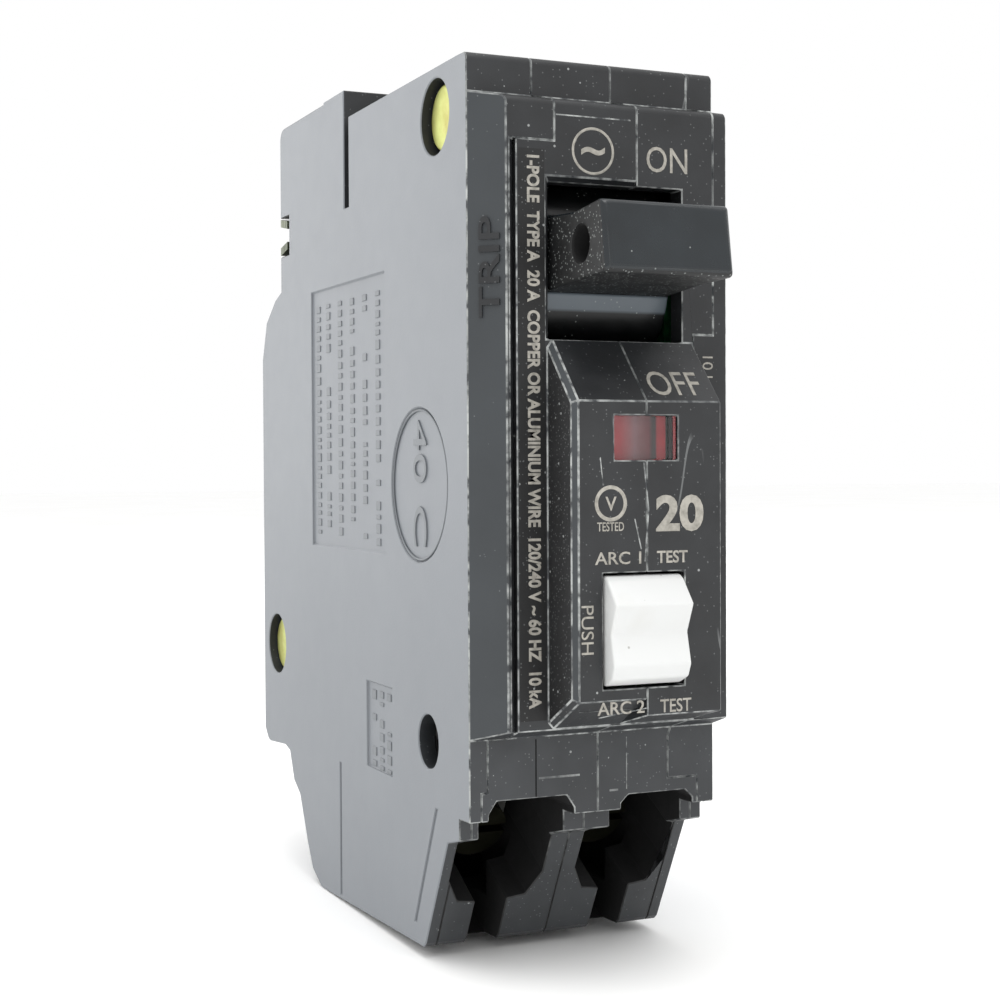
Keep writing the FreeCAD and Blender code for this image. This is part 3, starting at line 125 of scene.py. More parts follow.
def remap(tree, value, limits):
    """A value moved from one range to another; limits name the node's inputs."""
    return add_node(tree, "ShaderNodeMapRange", limits, {"Value": value}).outputs["Result"]


def math_node(tree, operation, first, second, **settings):
    """One sum on two values, each a number or a socket."""
    node = add_node(tree, "ShaderNodeMath", operation=operation, **settings)
    for slot, value in enumerate((first, second)):
        if isinstance(value, (int, float)):
            node.inputs[slot].default_value = value
        else:
            tree.links.new(value, node.inputs[slot])
    return node.outputs[0]


print("mid grey is", [round(c, 3) for c in linear("808080")[:3]])


# %% [markdown]
# Patterns that several finishes share: soft blotches, round dust specks and thin hairline
# scratches. A speck is the middle of a cell of a Voronoi pattern, kept only in a share of cells.
# A hairline is the narrow band where a stretched noise crosses its middle value.

# %% Shared patterns
def noise_value(tree, size_mm, detail, stretch):
    """A noise whose features are about size_mm wide before they are stretched."""
    turned = add_node(tree, "ShaderNodeMapping", {"Scale": stretch}, {"Vector": object_place(tree)})
    noise = add_node(tree, "ShaderNodeTexNoise", {"Scale": per_size(size_mm), "Detail": detail},
                     {"Vector": turned.outputs["Vector"]})
    return noise.outputs["Fac"]


def blotches(tree, size_mm, low, high, stretch=(1, 1, 1)):
    """A soft noise between 0 and 1, whose patches are about size_mm wide."""
    noise = noise_value(tree, size_mm, 4.0, stretch)
    return remap(tree, noise, {"From Min": low, "From Max": high})


def specks(tree, spacing_mm, reach, share):
    """Round specks: reach is their radius over the spacing, share the part of cells used."""
    cells = add_node(tree, "ShaderNodeTexVoronoi", {"Scale": per_size(spacing_mm)},
                     {"Vector": object_place(tree)})
    parts = add_node(tree, "ShaderNodeSeparateColor", links={"Color": cells.outputs["Color"]})
    near = math_node(tree, "LESS_THAN", cells.outputs["Distance"], reach)
    used = math_node(tree, "LESS_THAN", parts.outputs["Red"], share)
    return math_node(tree, "MULTIPLY", near, used)


def hairlines(tree, size_mm, width, stretch):
    """Thin wandering lines, long in the direction whose stretch is small."""
    middle = 0.5
    gate_spread = 1.7
    off = math_node(tree, "SUBTRACT", noise_value(tree, size_mm, 1.0, stretch), middle)
    away = math_node(tree, "ABSOLUTE", off, 0.0)
    line = math_node(tree, "LESS_THAN", away, width)
    return math_node(tree, "MULTIPLY", line, blotches(tree, size_mm * gate_spread, 0.56, 0.6))


def band(tree, axis, start_mm, end_mm, at_start, at_end):
    """A value that goes from at_start to at_end between two places along one axis of the part."""
    return remap(tree, one_axis(tree, axis), {
        "From Min": start_mm * MM, "From Max": end_mm * MM, "To Min": at_start, "To Max": at_end})


def blend_colours(tree, factor, under, over):
    """Colour over laid on colour under by a factor; either may be a chart colour or a socket."""
    mix = add_node(tree, "ShaderNodeMix", data_type="RGBA")
    for socket, colour in ((mix.inputs[6], under), (mix.inputs[7], over)):
        if isinstance(colour, str):
            socket.default_value = linear(colour)
        else:
            tree.links.new(colour, socket)
    tree.links.new(factor, mix.inputs[0])
    return mix.outputs[2]


def weigh(tree, factor, amount):
    """A factor made weaker or stronger by an amount."""
    return math_node(tree, "MULTIPLY", factor, amount)


def dust(tree, colour, spacing_mm, reach, share, strength, tone):
    """Specks of one tone laid on a colour."""
    return blend_colours(tree, weigh(tree, specks(tree, spacing_mm, reach, share), strength),
                         colour, tone)


def gloss_range(tree, shader, pattern, smooth, dull):
    """Roughness that follows a pattern from smooth to dull."""
    tree.links.new(remap(tree, pattern, {"To Min": smooth, "To Max": dull}),
                   shader.inputs["Roughness"])


def roughen(tree, shader, size_mm, depth_mm, strength):
    """Fine bump of the moulded skin."""
    height = blotches(tree, size_mm, 0.2, 0.8)
    bump = add_node(tree, "ShaderNodeBump", {"Strength": strength, "Distance": depth_mm * MM},
                    {"Height": height})
    tree.links.new(bump.outputs["Normal"], shader.inputs["Normal"])


print("patterns ready")


# %% [markdown]
# The housing is glass-filled polyester, a black thermoset pressed in a steel mould. Its skin is
# satin, not glossy, it goes grey where a film of dust lies, and handling leaves specks and
# hairlines. The same recipe serves each surface with its own film, specks and gloss. The pale grey
# skins of the side, the chamfer and the side marks are painted reflections, the face lightens
# towards its foot as a painted floor reflection, and the wire mouths are a near-black painted
# shade.

# %% Black thermoset finishes
def thermoset(name, skin, film, haze, speck_share, gloss, hair=0.0, patch_mm=6.0, foot_reflection=0.0,
              uneven=0.14):
    """Moulded black thermoset with a dust film, lightened towards the foot by a painted floor
    reflection, with specks and hairlines.
    """
    material, tree, shader = new_material(name, IOR=1.52)
    dust_haze_and_reflection = weigh(tree, blotches(tree, patch_mm, 0.3, 0.8), haze)
    # Painted reflection of the floor: the skin turns towards the film colour from 27 mm down to 21
    # mm.
    low = band(tree, "Z", 27, 21, 0.0, foot_reflection)
    dust_haze_and_reflection = math_node(tree, "ADD", dust_haze_and_reflection, low, use_clamp=True)
    colour = blend_colours(tree, dust_haze_and_reflection, skin, film)
    colour = dust(tree, colour, 1.3, 0.09, speck_share, 0.7, "A9ACAB")
    colour = dust(tree, colour, 0.34, 0.2, speck_share * 1.6, 0.35, "8B8E8E")
    if hair:
        colour = blend_colours(tree, weigh(tree, hairlines(tree, 9.0, 0.004, (1, 1, 0.3)), hair),
                               colour, "9A9D9D")
    tree.links.new(colour, shader.inputs["Base Color"])
    gloss_range(tree, shader, blotches(tree, 2.5, 0.3, 0.7), gloss, gloss + uneven)
    roughen(tree, shader, 0.22, 0.02, 0.35)
    return material


moulded_face = thermoset("moulded_thermoset_face", "161719", "3E4144", 0.35, 0.14, 0.40,
                         hair=0.35, foot_reflection=0.45)
# The side wall is the same black thermoset as the face; its pale grey skin is a painted reflection
# of the white room at a grazing angle.
side_painted_reflection = thermoset("thermoset_side_painted_reflection", "767A7F", "808489", 0.5, 0.006, 0.48,
                         patch_mm=24, uneven=0.03)
# The raised marks on the left side share its painted reflection, a little darker.
side_marks_painted_reflection = thermoset("thermoset_marks_painted_reflection", "6B6F73", "74787C", 0.5, 0.0, 0.5,
                          uneven=0.03)
label_ground = thermoset("black_label_ground", "0C0C0D", "1A1B1C", 0.5, 0.3, 0.5)
# The chamfer strip is the same black moulding; its grey is a painted reflection at a grazing angle.
chamfer_painted_reflection = thermoset("thermoset_chamfer_painted_reflection", "2F3336", "43484C", 0.5, 0.02, 0.38,
                            patch_mm=14)
dusty_wall = thermoset("dusty_thermoset_wall", "0B0B0D", "232527", 0.5, 0.6, 0.65)
# Near-black painted shade for the insides of the wire mouths and the tie hole; also the dark seam
# line on the skirt.
painted_shade_and_seam_black = thermoset("shaded_thermoset_mouth", "030304", "060607", 0.5, 0.0, 0.85)
print("thermoset finishes ready")

# %% [markdown]
# Every sharp edge of the housing is rubbed pale by handling, most of all on the operating face.
# The rubbed line is broken: solid in places and thin in others. It goes on the narrow bevel faces
# that the next cells cut, so the line has real width.


# %% Rubbed edge finish
def rubbed_edge():
    """Pale broken wear on the bevelled edges, strong at the front and faint behind."""
    material, tree, shader = new_material("rubbed_edge", IOR=1.52, Roughness=0.55)
    front = band(tree, "Y", -20, -27, 0.04, 0.95)
    broken = math_node(tree, "MULTIPLY", blotches(tree, 0.9, 0.36, 0.6),
                       blotches(tree, 7.0, 0.2, 0.62))
    worn = math_node(tree, "MULTIPLY", front, broken)
    under = blend_colours(tree, front, "0C0C0D", "34373A")
    tree.links.new(blend_colours(tree, worn, under, "B4B7B5"), shader.inputs["Base Color"])
    roughen(tree, shader, 0.25, 0.03, 0.5)
    return material


edge_wear = rubbed_edge()
print("made", edge_wear.name)


# %% [markdown]
# Handle and rocker are injection moulded. The handle is glossy black with a blue cast and holds
# dust on its side and underneath; its drum, in the slot, is painted dark as shade with a painted
# highlight band. The rocker is a warm white, satin and clean. The window is clear acrylic, and the
# flag behind it is a red plastic, painted paler and greyer towards its middle as a glare.

# %% Glossy and white plastics
def glossy_black(name, skin, film, speck_share, gloss, drum_painted_highlight=0.0):
    """Glossy black nylon with faint haze and dust; the drum finish also gets a painted highlight
    band.
    """
    material, tree, shader = new_material(name, IOR=1.53)
    colour = blend_colours(tree, weigh(tree, blotches(tree, 5.0, 0.3, 0.8), 0.4), skin, film)
    # A painted highlight: a pale blue-grey band across the drum, from 61.6 to 63.4 mm up.
    painted_highlight_band = math_node(tree, "MULTIPLY", band(tree, "Z", 61.6, 61.9, 0, drum_painted_highlight),
                      band(tree, "Z", 63.1, 63.4, 1, 0))
    colour = blend_colours(tree, painted_highlight_band, colour, "6A747C")
    colour = dust(tree, colour, 0.32, 0.24, speck_share, 0.75, "8E9290")
    tree.links.new(colour, shader.inputs["Base Color"])
    gloss_range(tree, shader, blotches(tree, 1.5, 0.3, 0.7), gloss, gloss + 0.1)
    roughen(tree, shader, 0.6, 0.01, 0.2)
    return material


def white_plastic():
    """Warm white thermoplastic with a very faint grime in its blotches."""
    material, tree, shader = new_material("white_moulded_plastic", IOR=1.49, Roughness=0.38)
    grime = weigh(tree, blotches(tree, 4.0, 0.55, 0.8), 0.25)
    colour = blend_colours(tree, grime, "DCDDDC", "C9C7C0")
    colour = dust(tree, colour, 1.3, 0.1, 0.2, 0.6, "8F8B82")
    tree.links.new(colour, shader.inputs["Base Color"])
    shader.inputs["Subsurface Weight"].default_value = 0.1
    shader.inputs["Subsurface Radius"].default_value = (MM, MM, MM)
    return material


def flag_red():
    """Red flag plastic: red at its left, greyed in the middle by a painted glare, a dark band, then
    red again.
    """
    material, tree, shader = new_material("red_flag_plastic", Roughness=0.45)
    low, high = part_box("trip_flag")
    along = remap(tree, one_axis(tree, "X"), {"From Min": low.x, "From Max": high.x})
    ramp = add_node(tree, "ShaderNodeValToRGB", links={"Fac": along})
    # The pale grey middle stops are a painted glare from the window.
    red_and_glare_stops = [(0.0, "C8303A"), (0.2, "C03C44"), (0.45, "A07478"), (0.7, "7A3238"),
             (0.77, "241618"), (0.82, "2A1618"), (0.85, "C02C36"), (1.0, "C8303A")]
    while len(ramp.color_ramp.elements) < len(red_and_glare_stops):
        ramp.color_ramp.elements.new(1.0)
    for element, (position, colour) in zip(ramp.color_ramp.elements, red_and_glare_stops):
        element.position = position
        element.color = linear(colour)
    tree.links.new(ramp.outputs["Color"], shader.inputs["Base Color"])
    return material


handle_gloss = glossy_black("glossy_black_nylon", "12181C", "272F34", 0.01, 0.2)
handle_dust = glossy_black("dusty_black_nylon", "0A0B0C", "1E2122", 0.62, 0.5)
# The drum sits in the slot: its near-black skin is painted shade, and its pale band a painted
# highlight.
drum_painted_shade_and_highlight = glossy_black("glossy_black_drum_painted_shade_highlight", "060708", "0B0D0E", 0.06, 0.3, drum_painted_highlight=0.75)
rocker_white = white_plastic()
flag_plastic = flag_red()
window_clear, window_tree, window_shader = new_material(
    "clear_acrylic", IOR=1.49, Roughness=0.06, Transmission_Weight=1.0)
window_haze = blend_colours(window_tree, blotches(window_tree, 1.5, 0.4, 0.8), "FFFFFF", "E9E6E6")
window_tree.links.new(window_haze, window_shader.inputs["Base Color"])
print("plastics ready")


# %% [markdown]
# Metals and the small inner parts. Rolled and pressed steel is zinc plated, screws and rivets are
# yellow chromated, conductors are copper, some of it tinned, and contacts are a silver alloy. The
# two terminal screws are painted dark as shade, deep in their wire mouths. Each metal gets drawing
# or rolling marks as a stretched noise, and a slight change of colour.

# %% Metals and inner finishes
def metal(name, pale, dark, rough_low, rough_high, grain_mm, stretch=(1, 1, 1)):
    """A metal whose tint and roughness follow its rolling or drawing marks."""
    material, tree, shader = new_material(name, Metallic=1.0)
    marks = blotches(tree, grain_mm, 0.3, 0.7, stretch)
    patches = blotches(tree, 3.0, 0.35, 0.7)
    tree.links.new(blend_colours(tree, patches, pale, dark), shader.inputs["Base Color"])
    gloss_range(tree, shader, marks, rough_low, rough_high)
    roughen(tree, shader, grain_mm, 0.004, 0.3)
    return material


def inner_plastic(name, pale, dark, rough):
    """A dull moulded, dipped or laminated surface."""
    material, tree, shader = new_material(name, Roughness=rough, IOR=1.5)
    colour = blend_colours(tree, blotches(tree, 0.8, 0.35, 0.7), pale, dark)
    tree.links.new(colour, shader.inputs["Base Color"])
    roughen(tree, shader, 0.3, 0.01, 0.3)
    return material


along_z = (1, 1, 0.1)
SLOT_FINISH = {
    "chromated_steel": metal("yellow_chromate_steel", "B7BC72", "A39D56", 0.38, 0.52, 0.5),
    # Painted shade: the terminal screws sit deep in the wire mouths.
    "shaded_terminal_screw": metal("shaded_chromate_steel", "26261E", "181812", 0.5, 0.65, 0.5),
    "plain_steel": metal("ground_steel", "B8B8B6", "8E8E8C", 0.2, 0.35, 0.2),
    "plated_steel": metal("zinc_plated_steel", "A9AAA4", "7F817C", 0.35, 0.5, 0.3, along_z),
    "spring_steel": metal("drawn_spring_wire", "8A8A88", "5E5E5C", 0.25, 0.35, 0.2),
    "copper": metal("rolled_copper", "C77A55", "9A5638", 0.3, 0.45, 0.2, along_z),
    "tinned_copper": metal("tin_plated_copper", "6C705E", "414738", 0.4, 0.6, 0.4, along_z),
    "silver_contact": metal("silver_alloy", "DCDBD6", "B8B7B2", 0.3, 0.4, 0.2),
    "bimetal_strip": metal("rolled_bimetal", "A89C8C", "857A6C", 0.3, 0.45, 0.2, along_z),
    "coil_winding": inner_plastic("enamelled_winding", "A34B1C", "6E2E10", 0.35),
    "fibre": inner_plastic("vulcanised_fibre", "A08466", "7D6349", 0.7),
    "board_laminate": inner_plastic("green_solder_mask", "1E6B3A", "14502A", 0.4),
    "chip_resin": inner_plastic("black_chip_resin", "1B1B1C", "101011", 0.55),
    "varistor_resin": inner_plastic("blue_dipped_resin", "2B4C8C", "1E3768", 0.4),
    "can_sleeve": inner_plastic("black_shrink_sleeve", "17171C", "0E0E12", 0.3),
    "sensor_resin": inner_plastic("taped_toroid", "2C2A26", "1C1B18", 0.6),
    "case_plastic": moulded_face,
    "handle_plastic": handle_gloss,
    "white_plastic": rocker_white,
    "red_plastic": flag_plastic,
    "clear_lens": window_clear,
}
slot_of = {part["node"]: part["material_slot"] for part in frame["record"]["subparts"]}
for node, thing in frame["nodes"].items():
    thing.data.materials.clear()
    # The two terminal screws take the dark painted-shade chromate.
    shaded_screw = node in ("load_screw", "neutral_screw")
    thing.data.materials.append(SLOT_FINISH["shaded_terminal_screw" if shaded_screw else slot_of[node]])
print("finishes on", len(slot_of), "nodes")


# %% [markdown]
# A moulded part has no perfectly sharp edge. A copy of each moulding has its triangles merged, its
# flat faces made whole, and a small bevel cut along every sharp edge. The bevel faces take the
# rubbed finish, so each edge and each seam shows as the thin pale line that wear leaves.

# %% Copy and bevel a moulding
def pick(piece):
    """Makes one object the only selected and active one."""
    bpy.ops.object.select_all(action="DESELECT")
    piece.select_set(True)
    bpy.context.view_layer.objects.active = piece


def apply_modifier(piece, kind, **settings):
    """Adds a modifier with its settings and applies it."""
    pick(piece)
    modifier = piece.modifiers.new(kind.lower(), kind)
    for name, setting in settings.items():
        setattr(modifier, name, setting)
    bpy.ops.object.modifier_apply(modifier=modifier.name)


def merged_copy(node, name):
    """A whole-faced copy of a node, standing for it on the same body."""
    source = frame["nodes"][node]
    piece = bpy.data.objects.new(name, source.data.copy())
    bpy.context.scene.collection.objects.link(piece)
    pick(piece)
    bpy.ops.object.mode_set(mode="EDIT")
    bpy.ops.mesh.select_all(action="SELECT")
    bpy.ops.mesh.remove_doubles(threshold=0.004 * MM)
    bpy.ops.mesh.dissolve_limited(angle_limit=math.radians(0.6))
    bpy.ops.object.mode_set(mode="OBJECT")
    return piece


def stand_in(piece, node, body):
    """The piece rides on the node's body and is shown in its place."""
    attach(piece, body)
    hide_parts(node)
    print(piece.name, "replaces", node, "with", len(piece.data.polygons), "faces")


def paint_faces(piece, finishes, choose):
    """Gives each face the finish whose index choose(centre, normal) returns."""
    piece.data.materials.clear()
    for finish in finishes:
        piece.data.materials.append(finish)
    for face in piece.data.polygons:
        face.material_index = choose(face.center, face.normal)


# The side, chamfer and mark finishes are grey painted reflections on the black moulding; the mouth
# finish is near-black painted shade.
HOUSING_FINISHES = [moulded_face, edge_wear, side_painted_reflection, chamfer_painted_reflection, dusty_wall, painted_shade_and_seam_black]
FACE, WEAR, SIDE_REFLECTION, CHAMFER_REFLECTION, DUSTY, MOUTH_SHADE = range(len(HOUSING_FINISHES))
STEEP = 0.9          # least part of a unit normal along X on a side wall
LEANING = 0.5        # least part of a unit normal on a chamfer or a rear wall
NEAR = 0.4 * MM      # how close to the outer side plane a side wall lies
SIDE_FRONT = -24 * MM   # edges of the side wall behind this take its own finish

# The wire mouths, in millimetres: heights, then depths of what closes each mouth in front.
MOUTH_FOOT_Z, SLOPE_TOP_Z, LEDGE_Z, SKIRT_FOOT_Z, MOUTH_ROOF_Z = 1.3, 12.47, 13.3, 15.25, 21.2
SLOPE_TOP_Y, LEDGE_Y, SKIRT_Y, MOUTH_BACK_Y = -22.14, -25.1, -27.5, -5.4
SLOPE_RUN = 0.526       # how far the sloping face runs back for each millimetre down
SET_BACK, MOUTH_HALF_WIDTH = 0.25, 11.4


def in_mouth(centre):
    """Whether a place lies in a wire mouth, behind the sloping face, the ledge or the skirt."""
    height = centre.z / MM
    front = SLOPE_TOP_Y + max(SLOPE_TOP_Z - height, 0) * SLOPE_RUN
    if height > LEDGE_Z:
        front = LEDGE_Y if height < SKIRT_FOOT_Z else SKIRT_Y
    return (MOUTH_FOOT_Z < height < MOUTH_ROOF_Z
            and front + SET_BACK < centre.y / MM < MOUTH_BACK_Y
            and abs(centre.x / MM) < MOUTH_HALF_WIDTH)


def housing_surface(centre, normal):
    """Which finish a face of the housing has, by where it is and how it looks."""
    # Faces deep in a wire mouth take the near-black painted shade.
    if in_mouth(centre):
        return MOUTH_SHADE
    # Faces on the outer side plane take the side's painted reflection.
    if abs(normal.x) > STEEP and abs(centre.x) > -left_x - NEAR:
        return SIDE_REFLECTION
    if abs(normal.x) > STEEP and centre.y < block_y:
        return DUSTY
    # Chamfers take their painted reflection.
    if normal.x < -LEANING and normal.y < -LEANING:
        return CHAMFER_REFLECTION
    # Rear walls take the same painted reflection as the side.
    if normal.y > LEANING:
        return SIDE_REFLECTION
    return FACE


def soften_bevels(piece):
    """Bevels inside the mouths take the near-black painted shade, and those of the side wall take
    its painted reflection.
    """
    for face in piece.data.polygons:
        if face.material_index != WEAR:
            continue
        if in_mouth(face.center):
            face.material_index = MOUTH_SHADE
        elif abs(face.center.x) > -left_x - NEAR and face.center.y > SIDE_FRONT:
            face.material_index = SIDE_REFLECTION


for node in ("left_cover", "breaker_case", "electronics_case", "right_cover"):
    moulding = merged_copy(node, node + "_moulding")
    paint_faces(moulding, HOUSING_FINISHES, housing_surface)
    apply_modifier(moulding, "BEVEL", width=0.11 * MM, segments=1, limit_method="ANGLE",
                   angle_limit=math.radians(28), material=WEAR, use_clamp_overlap=False,
                   miter_outer="MITER_SHARP", harden_normals=False)
    soften_bevels(moulding)
    stand_in(moulding, node, HOUSING)


# %% [markdown]
# The handle, rocker, window and rivets get the same care as the housing. Their bevels are
# rounder, since nylon and acrylic come out of a polished mould, and the handle's side and underside
# hold dust that its front has lost to fingers.

# %% Handle, rocker, window and rivets
HANDLE_FINISHES = [handle_gloss, handle_dust, drum_painted_shade_and_highlight, painted_shade_and_seam_black]
GLOSS, DUST, DRUM_SHADE, HOLE_SHADE = range(len(HANDLE_FINISHES))
TIE_HOLE_Y, TIE_HOLE_Z, TIE_HOLE_REACH = -35.6 * MM, 66.85 * MM, 1.75 * MM
DRUM_FRONT = -30.6 * MM
UNDERSIDE = -0.6     # most upward part of a unit normal on the bar's underside


def handle_surface(centre, normal):
    """Dust lies on the bar's ends and underside, its front is bare gloss, the drum is painted dark
    as shade.
    """
    # Faces in the tie hole take the near-black painted shade.
    if (centre - Vector((centre.x, TIE_HOLE_Y, TIE_HOLE_Z))).length < TIE_HOLE_REACH:
        return HOLE_SHADE
    # The drum, inside the slot, is painted dark as shade.
    if centre.y > DRUM_FRONT and abs(normal.x) < STEEP:
        return DRUM_SHADE
    return DUST if abs(normal.x) > STEEP or normal.z < UNDERSIDE else GLOSS


handle = merged_copy("handle", "bar_handle")
paint_faces(handle, HANDLE_FINISHES, handle_surface)
apply_modifier(handle, "BEVEL", width=0.3 * MM, segments=3, limit_method="ANGLE",
               angle_limit=math.radians(40), use_clamp_overlap=False)
stand_in(handle, "handle", "handle")

rocker = merged_copy("test_rocker", "test_rocker_cap")
paint_faces(rocker, [rocker_white], lambda centre, normal: 0)
apply_modifier(rocker, "BEVEL", width=0.28 * MM, segments=4, limit_method="ANGLE",
               angle_limit=math.radians(12), use_clamp_overlap=True)
pick(rocker)
bpy.ops.object.shade_smooth_by_angle(angle=math.radians(25))
stand_in(rocker, "test_rocker", "test_rocker")

for node, name, slot, bevel_mm, rings in (
        ("indicator_lens", "window_lens", "clear_lens", 0.12, 2),
        ("rivets", "chromated_rivets", "chromated_steel", 0.22, 3)):
    piece = merged_copy(node, name)
    paint_faces(piece, [SLOT_FINISH[slot]], lambda centre, normal: 0)
    apply_modifier(piece, "BEVEL", width=bevel_mm * MM, segments=rings, limit_method="ANGLE",
                   angle_limit=math.radians(40))
    stand_in(piece, node, HOUSING)


# %% [markdown]
# Print on the real part is a thin layer of warm grey ink. Each word is a text object turned into a
# mesh, fitted to the width and height that it has on the part, and laid a hair above the surface.
# A surface is given by its reading direction and its up direction; their cross product faces out.

# %% Words and marks in ink
INK, ink_tree, ink_shader = new_material("pad_print_ink", Roughness=0.6)
ink_colour = blend_colours(ink_tree, blotches(ink_tree, 0.5, 0.3, 0.62), "8A877F", "ACA89F")
ink_tree.links.new(ink_colour, ink_shader.inputs["Base Color"])
INK_RISE = 0.03 * MM
RIGHT, UP, DOWN = Vector((1, 0, 0)), Vector((0, 0, 1)), Vector((0, 0, -1))
ramp_run = Vector((0, 5.18, 5.64)).normalized()
chamfer_run = Vector((-2.74, 2.58, 0)).normalized()


def ride_housing(piece):
    """The piece rides on the housing."""
    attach(piece, HOUSING)
    print(piece.name, len(piece.data.polygons), "faces")


def lay_on(piece, corner, reading, upright, width, height, rise):
    """Fits a flat mesh drawn in X and Y into a width and height, and lays it on a surface."""
    drawn = [vertex.co for vertex in piece.data.vertices]
    low = Vector(min(point[axis] for point in drawn) for axis in range(3))
    high = Vector(max(point[axis] for point in drawn) for axis in range(3))
    size = high - low
    outward = reading.cross(upright)
    for vertex in piece.data.vertices:
        part = vertex.co - low
        vertex.co = (corner + reading * (part.x / size.x * width)
                     + upright * (part.y / size.y * height)
                     + outward * ((part.z / size.z - 0.5) * 2 * rise))
    piece.data.update()


def word(name, text, corner, reading, upright, width, height, finish=None, rise=INK_RISE, bold=0.0):
    """A word whose lower left corner, width and height are given, in metres."""
    bpy.ops.object.select_all(action="DESELECT")
    bpy.ops.object.text_add()
    piece = bpy.context.object
    piece.name = name
    piece.data.body = text
    piece.data.extrude = 0.5
    piece.data.offset = bold
    piece.data.resolution_u = 4
    bpy.ops.object.convert(target="MESH")
    piece = bpy.context.object
    lay_on(piece, Vector(corner), reading, upright, width, height, rise)
    piece.data.materials.clear()
    piece.data.materials.append(finish or INK)
    ride_housing(piece)


def nose_word(name, text, left, foot, width, height, bold=0.01):
    """A word on the flat of the nose, placed in millimetres."""
    word(name, text, (left * MM, nose_y, foot * MM), RIGHT, UP, width * MM, height * MM, bold=bold)


nose_word("rating_number", "20", 2.2, 41.6, 4.9, 3.3, bold=0.035)
nose_word("upper_test_word", "TEST", 2.3, 38.8, 3.14, 1.12, bold=0.02)
nose_word("upper_circuit_word", "ARC 1", -3.9, 38.8, 4.6, 1.12)
nose_word("lower_test_word", "TEST", 2.6, 25.4, 3.18, 1.2)
nose_word("lower_circuit_word", "ARC 2", -3.7, 25.5, 4.7, 1.15)
nose_word("tested_word", "TESTED", -3.67, 41.75, 2.65, 0.8)
word("on_word", "ON", (4.2 * MM, block_y, 74.55 * MM), RIGHT, UP, 4.3 * MM, 2.35 * MM)
off_corner = Vector((2.25 * MM, block_y, 58.9 * MM)) - ramp_run * 6.9 * MM
word("off_word", "OFF", off_corner, RIGHT, ramp_run, 5.3 * MM, 3.0 * MM)
word("push_word", "PUSH", (-5.25 * MM, nose_y, 35.25 * MM), DOWN, RIGHT, 4.3 * MM, 1.2 * MM)
word("rating_strip", "1-POLE  TYPE A  20 A  COPPER OR ALUMINIUM WIRE  120/240 V ~ 60 HZ  10 kA",
     (-7.95 * MM, block_y, 75.3 * MM), DOWN, RIGHT, 49.6 * MM, 1.28 * MM, bold=0.035)
word("interrupt_word", "10 kA", (10.1 * MM, block_y, 57.7 * MM), DOWN, RIGHT, 3.6 * MM, 1.1 * MM)


# %% [markdown]
# The two round marks are plain rings with a general sign inside: a wave for alternating current and
# an upright V for tested. A ring is a torus flattened to ink thickness.

# %% Round marks
QUARTER_TURN = math.radians(90)


def ring(name, place, turn, across, line, steps):
    """A thin torus; across is its outer diameter and line its stroke, in millimetres."""
    bpy.ops.object.select_all(action="DESELECT")
    bpy.ops.mesh.primitive_torus_add(
        major_radius=(across - line) / 2 * MM, minor_radius=line / 2 * MM,
        major_segments=steps, minor_segments=8, location=place, rotation=turn)
    piece = bpy.context.object
    piece.name = name
    bpy.ops.object.transform_apply(location=True, rotation=True, scale=True)
    return piece


def ring_mark(name, middle_x, middle_z, plane_y, across, line):
    """A flat ring of ink on a plane that faces the front."""
    piece = ring(name, (middle_x * MM, plane_y, middle_z * MM), (QUARTER_TURN, 0, 0),
                 across, line, 72)
    for vertex in piece.data.vertices:
        vertex.co.y = plane_y + (vertex.co.y - plane_y) * INK_RISE / (line / 2 * MM)
    piece.data.materials.append(INK)
    ride_housing(piece)


ring_mark("wave_ring", -1.3, 76.05, block_y, 4.3, 0.24)
word("wave_sign", "~", (-2.5 * MM, block_y, 75.65 * MM), RIGHT, UP, 2.4 * MM, 0.8 * MM, bold=0.02)
ring_mark("tick_ring", -2.3, 44.2, nose_y, 3.2, 0.34)
word("tick_sign", "V", (-2.85 * MM, nose_y, 43.55 * MM), RIGHT, UP, 1.1 * MM, 1.25 * MM, bold=0.01)

# %% [markdown]
# Handling has left a few marks of its own: scratches across the nose, pale lines and one dark seam
# on the skirt, and a pale line under the top lip. Each is a thin flat strip along a short path.
# The same strips make the black ground of the rating strip.

# %% Scratches and thin lines
def linked_piece(name, mesh, finish):
    """A new object in the scene made from a mesh under construction."""
    data = bpy.data.meshes.new(name)
    mesh.to_mesh(data)
    mesh.free()
    data.materials.append(finish)
    piece = bpy.data.objects.new(name, data)
    bpy.context.scene.collection.objects.link(piece)
    return piece


STRIP_RISE = 0.012 * MM


def strip_marks(name, plane, strips, finish):
    """Flat strips on a plane; each is two ends and a width, in millimetres on that plane."""
    origin, across, upward = plane
    outward = across.cross(upward)
    mesh = bmesh.new()
    for (start_u, start_v), (end_u, end_v), width in strips:
        start = origin + (across * start_u + upward * start_v) * MM
        run = (across * (end_u - start_u) + upward * (end_v - start_v)) * MM
        aside = run.normalized().cross(outward) * width / 2 * MM
        corners = [start + aside, start - aside, start + run - aside, start + run + aside]
        lid = [mesh.verts.new(corner + outward * STRIP_RISE) for corner in corners]
        mesh.faces.new(lid[::-1])
    bmesh.ops.recalc_face_normals(mesh, faces=mesh.faces)
    ride_housing(linked_piece(name, mesh, finish))


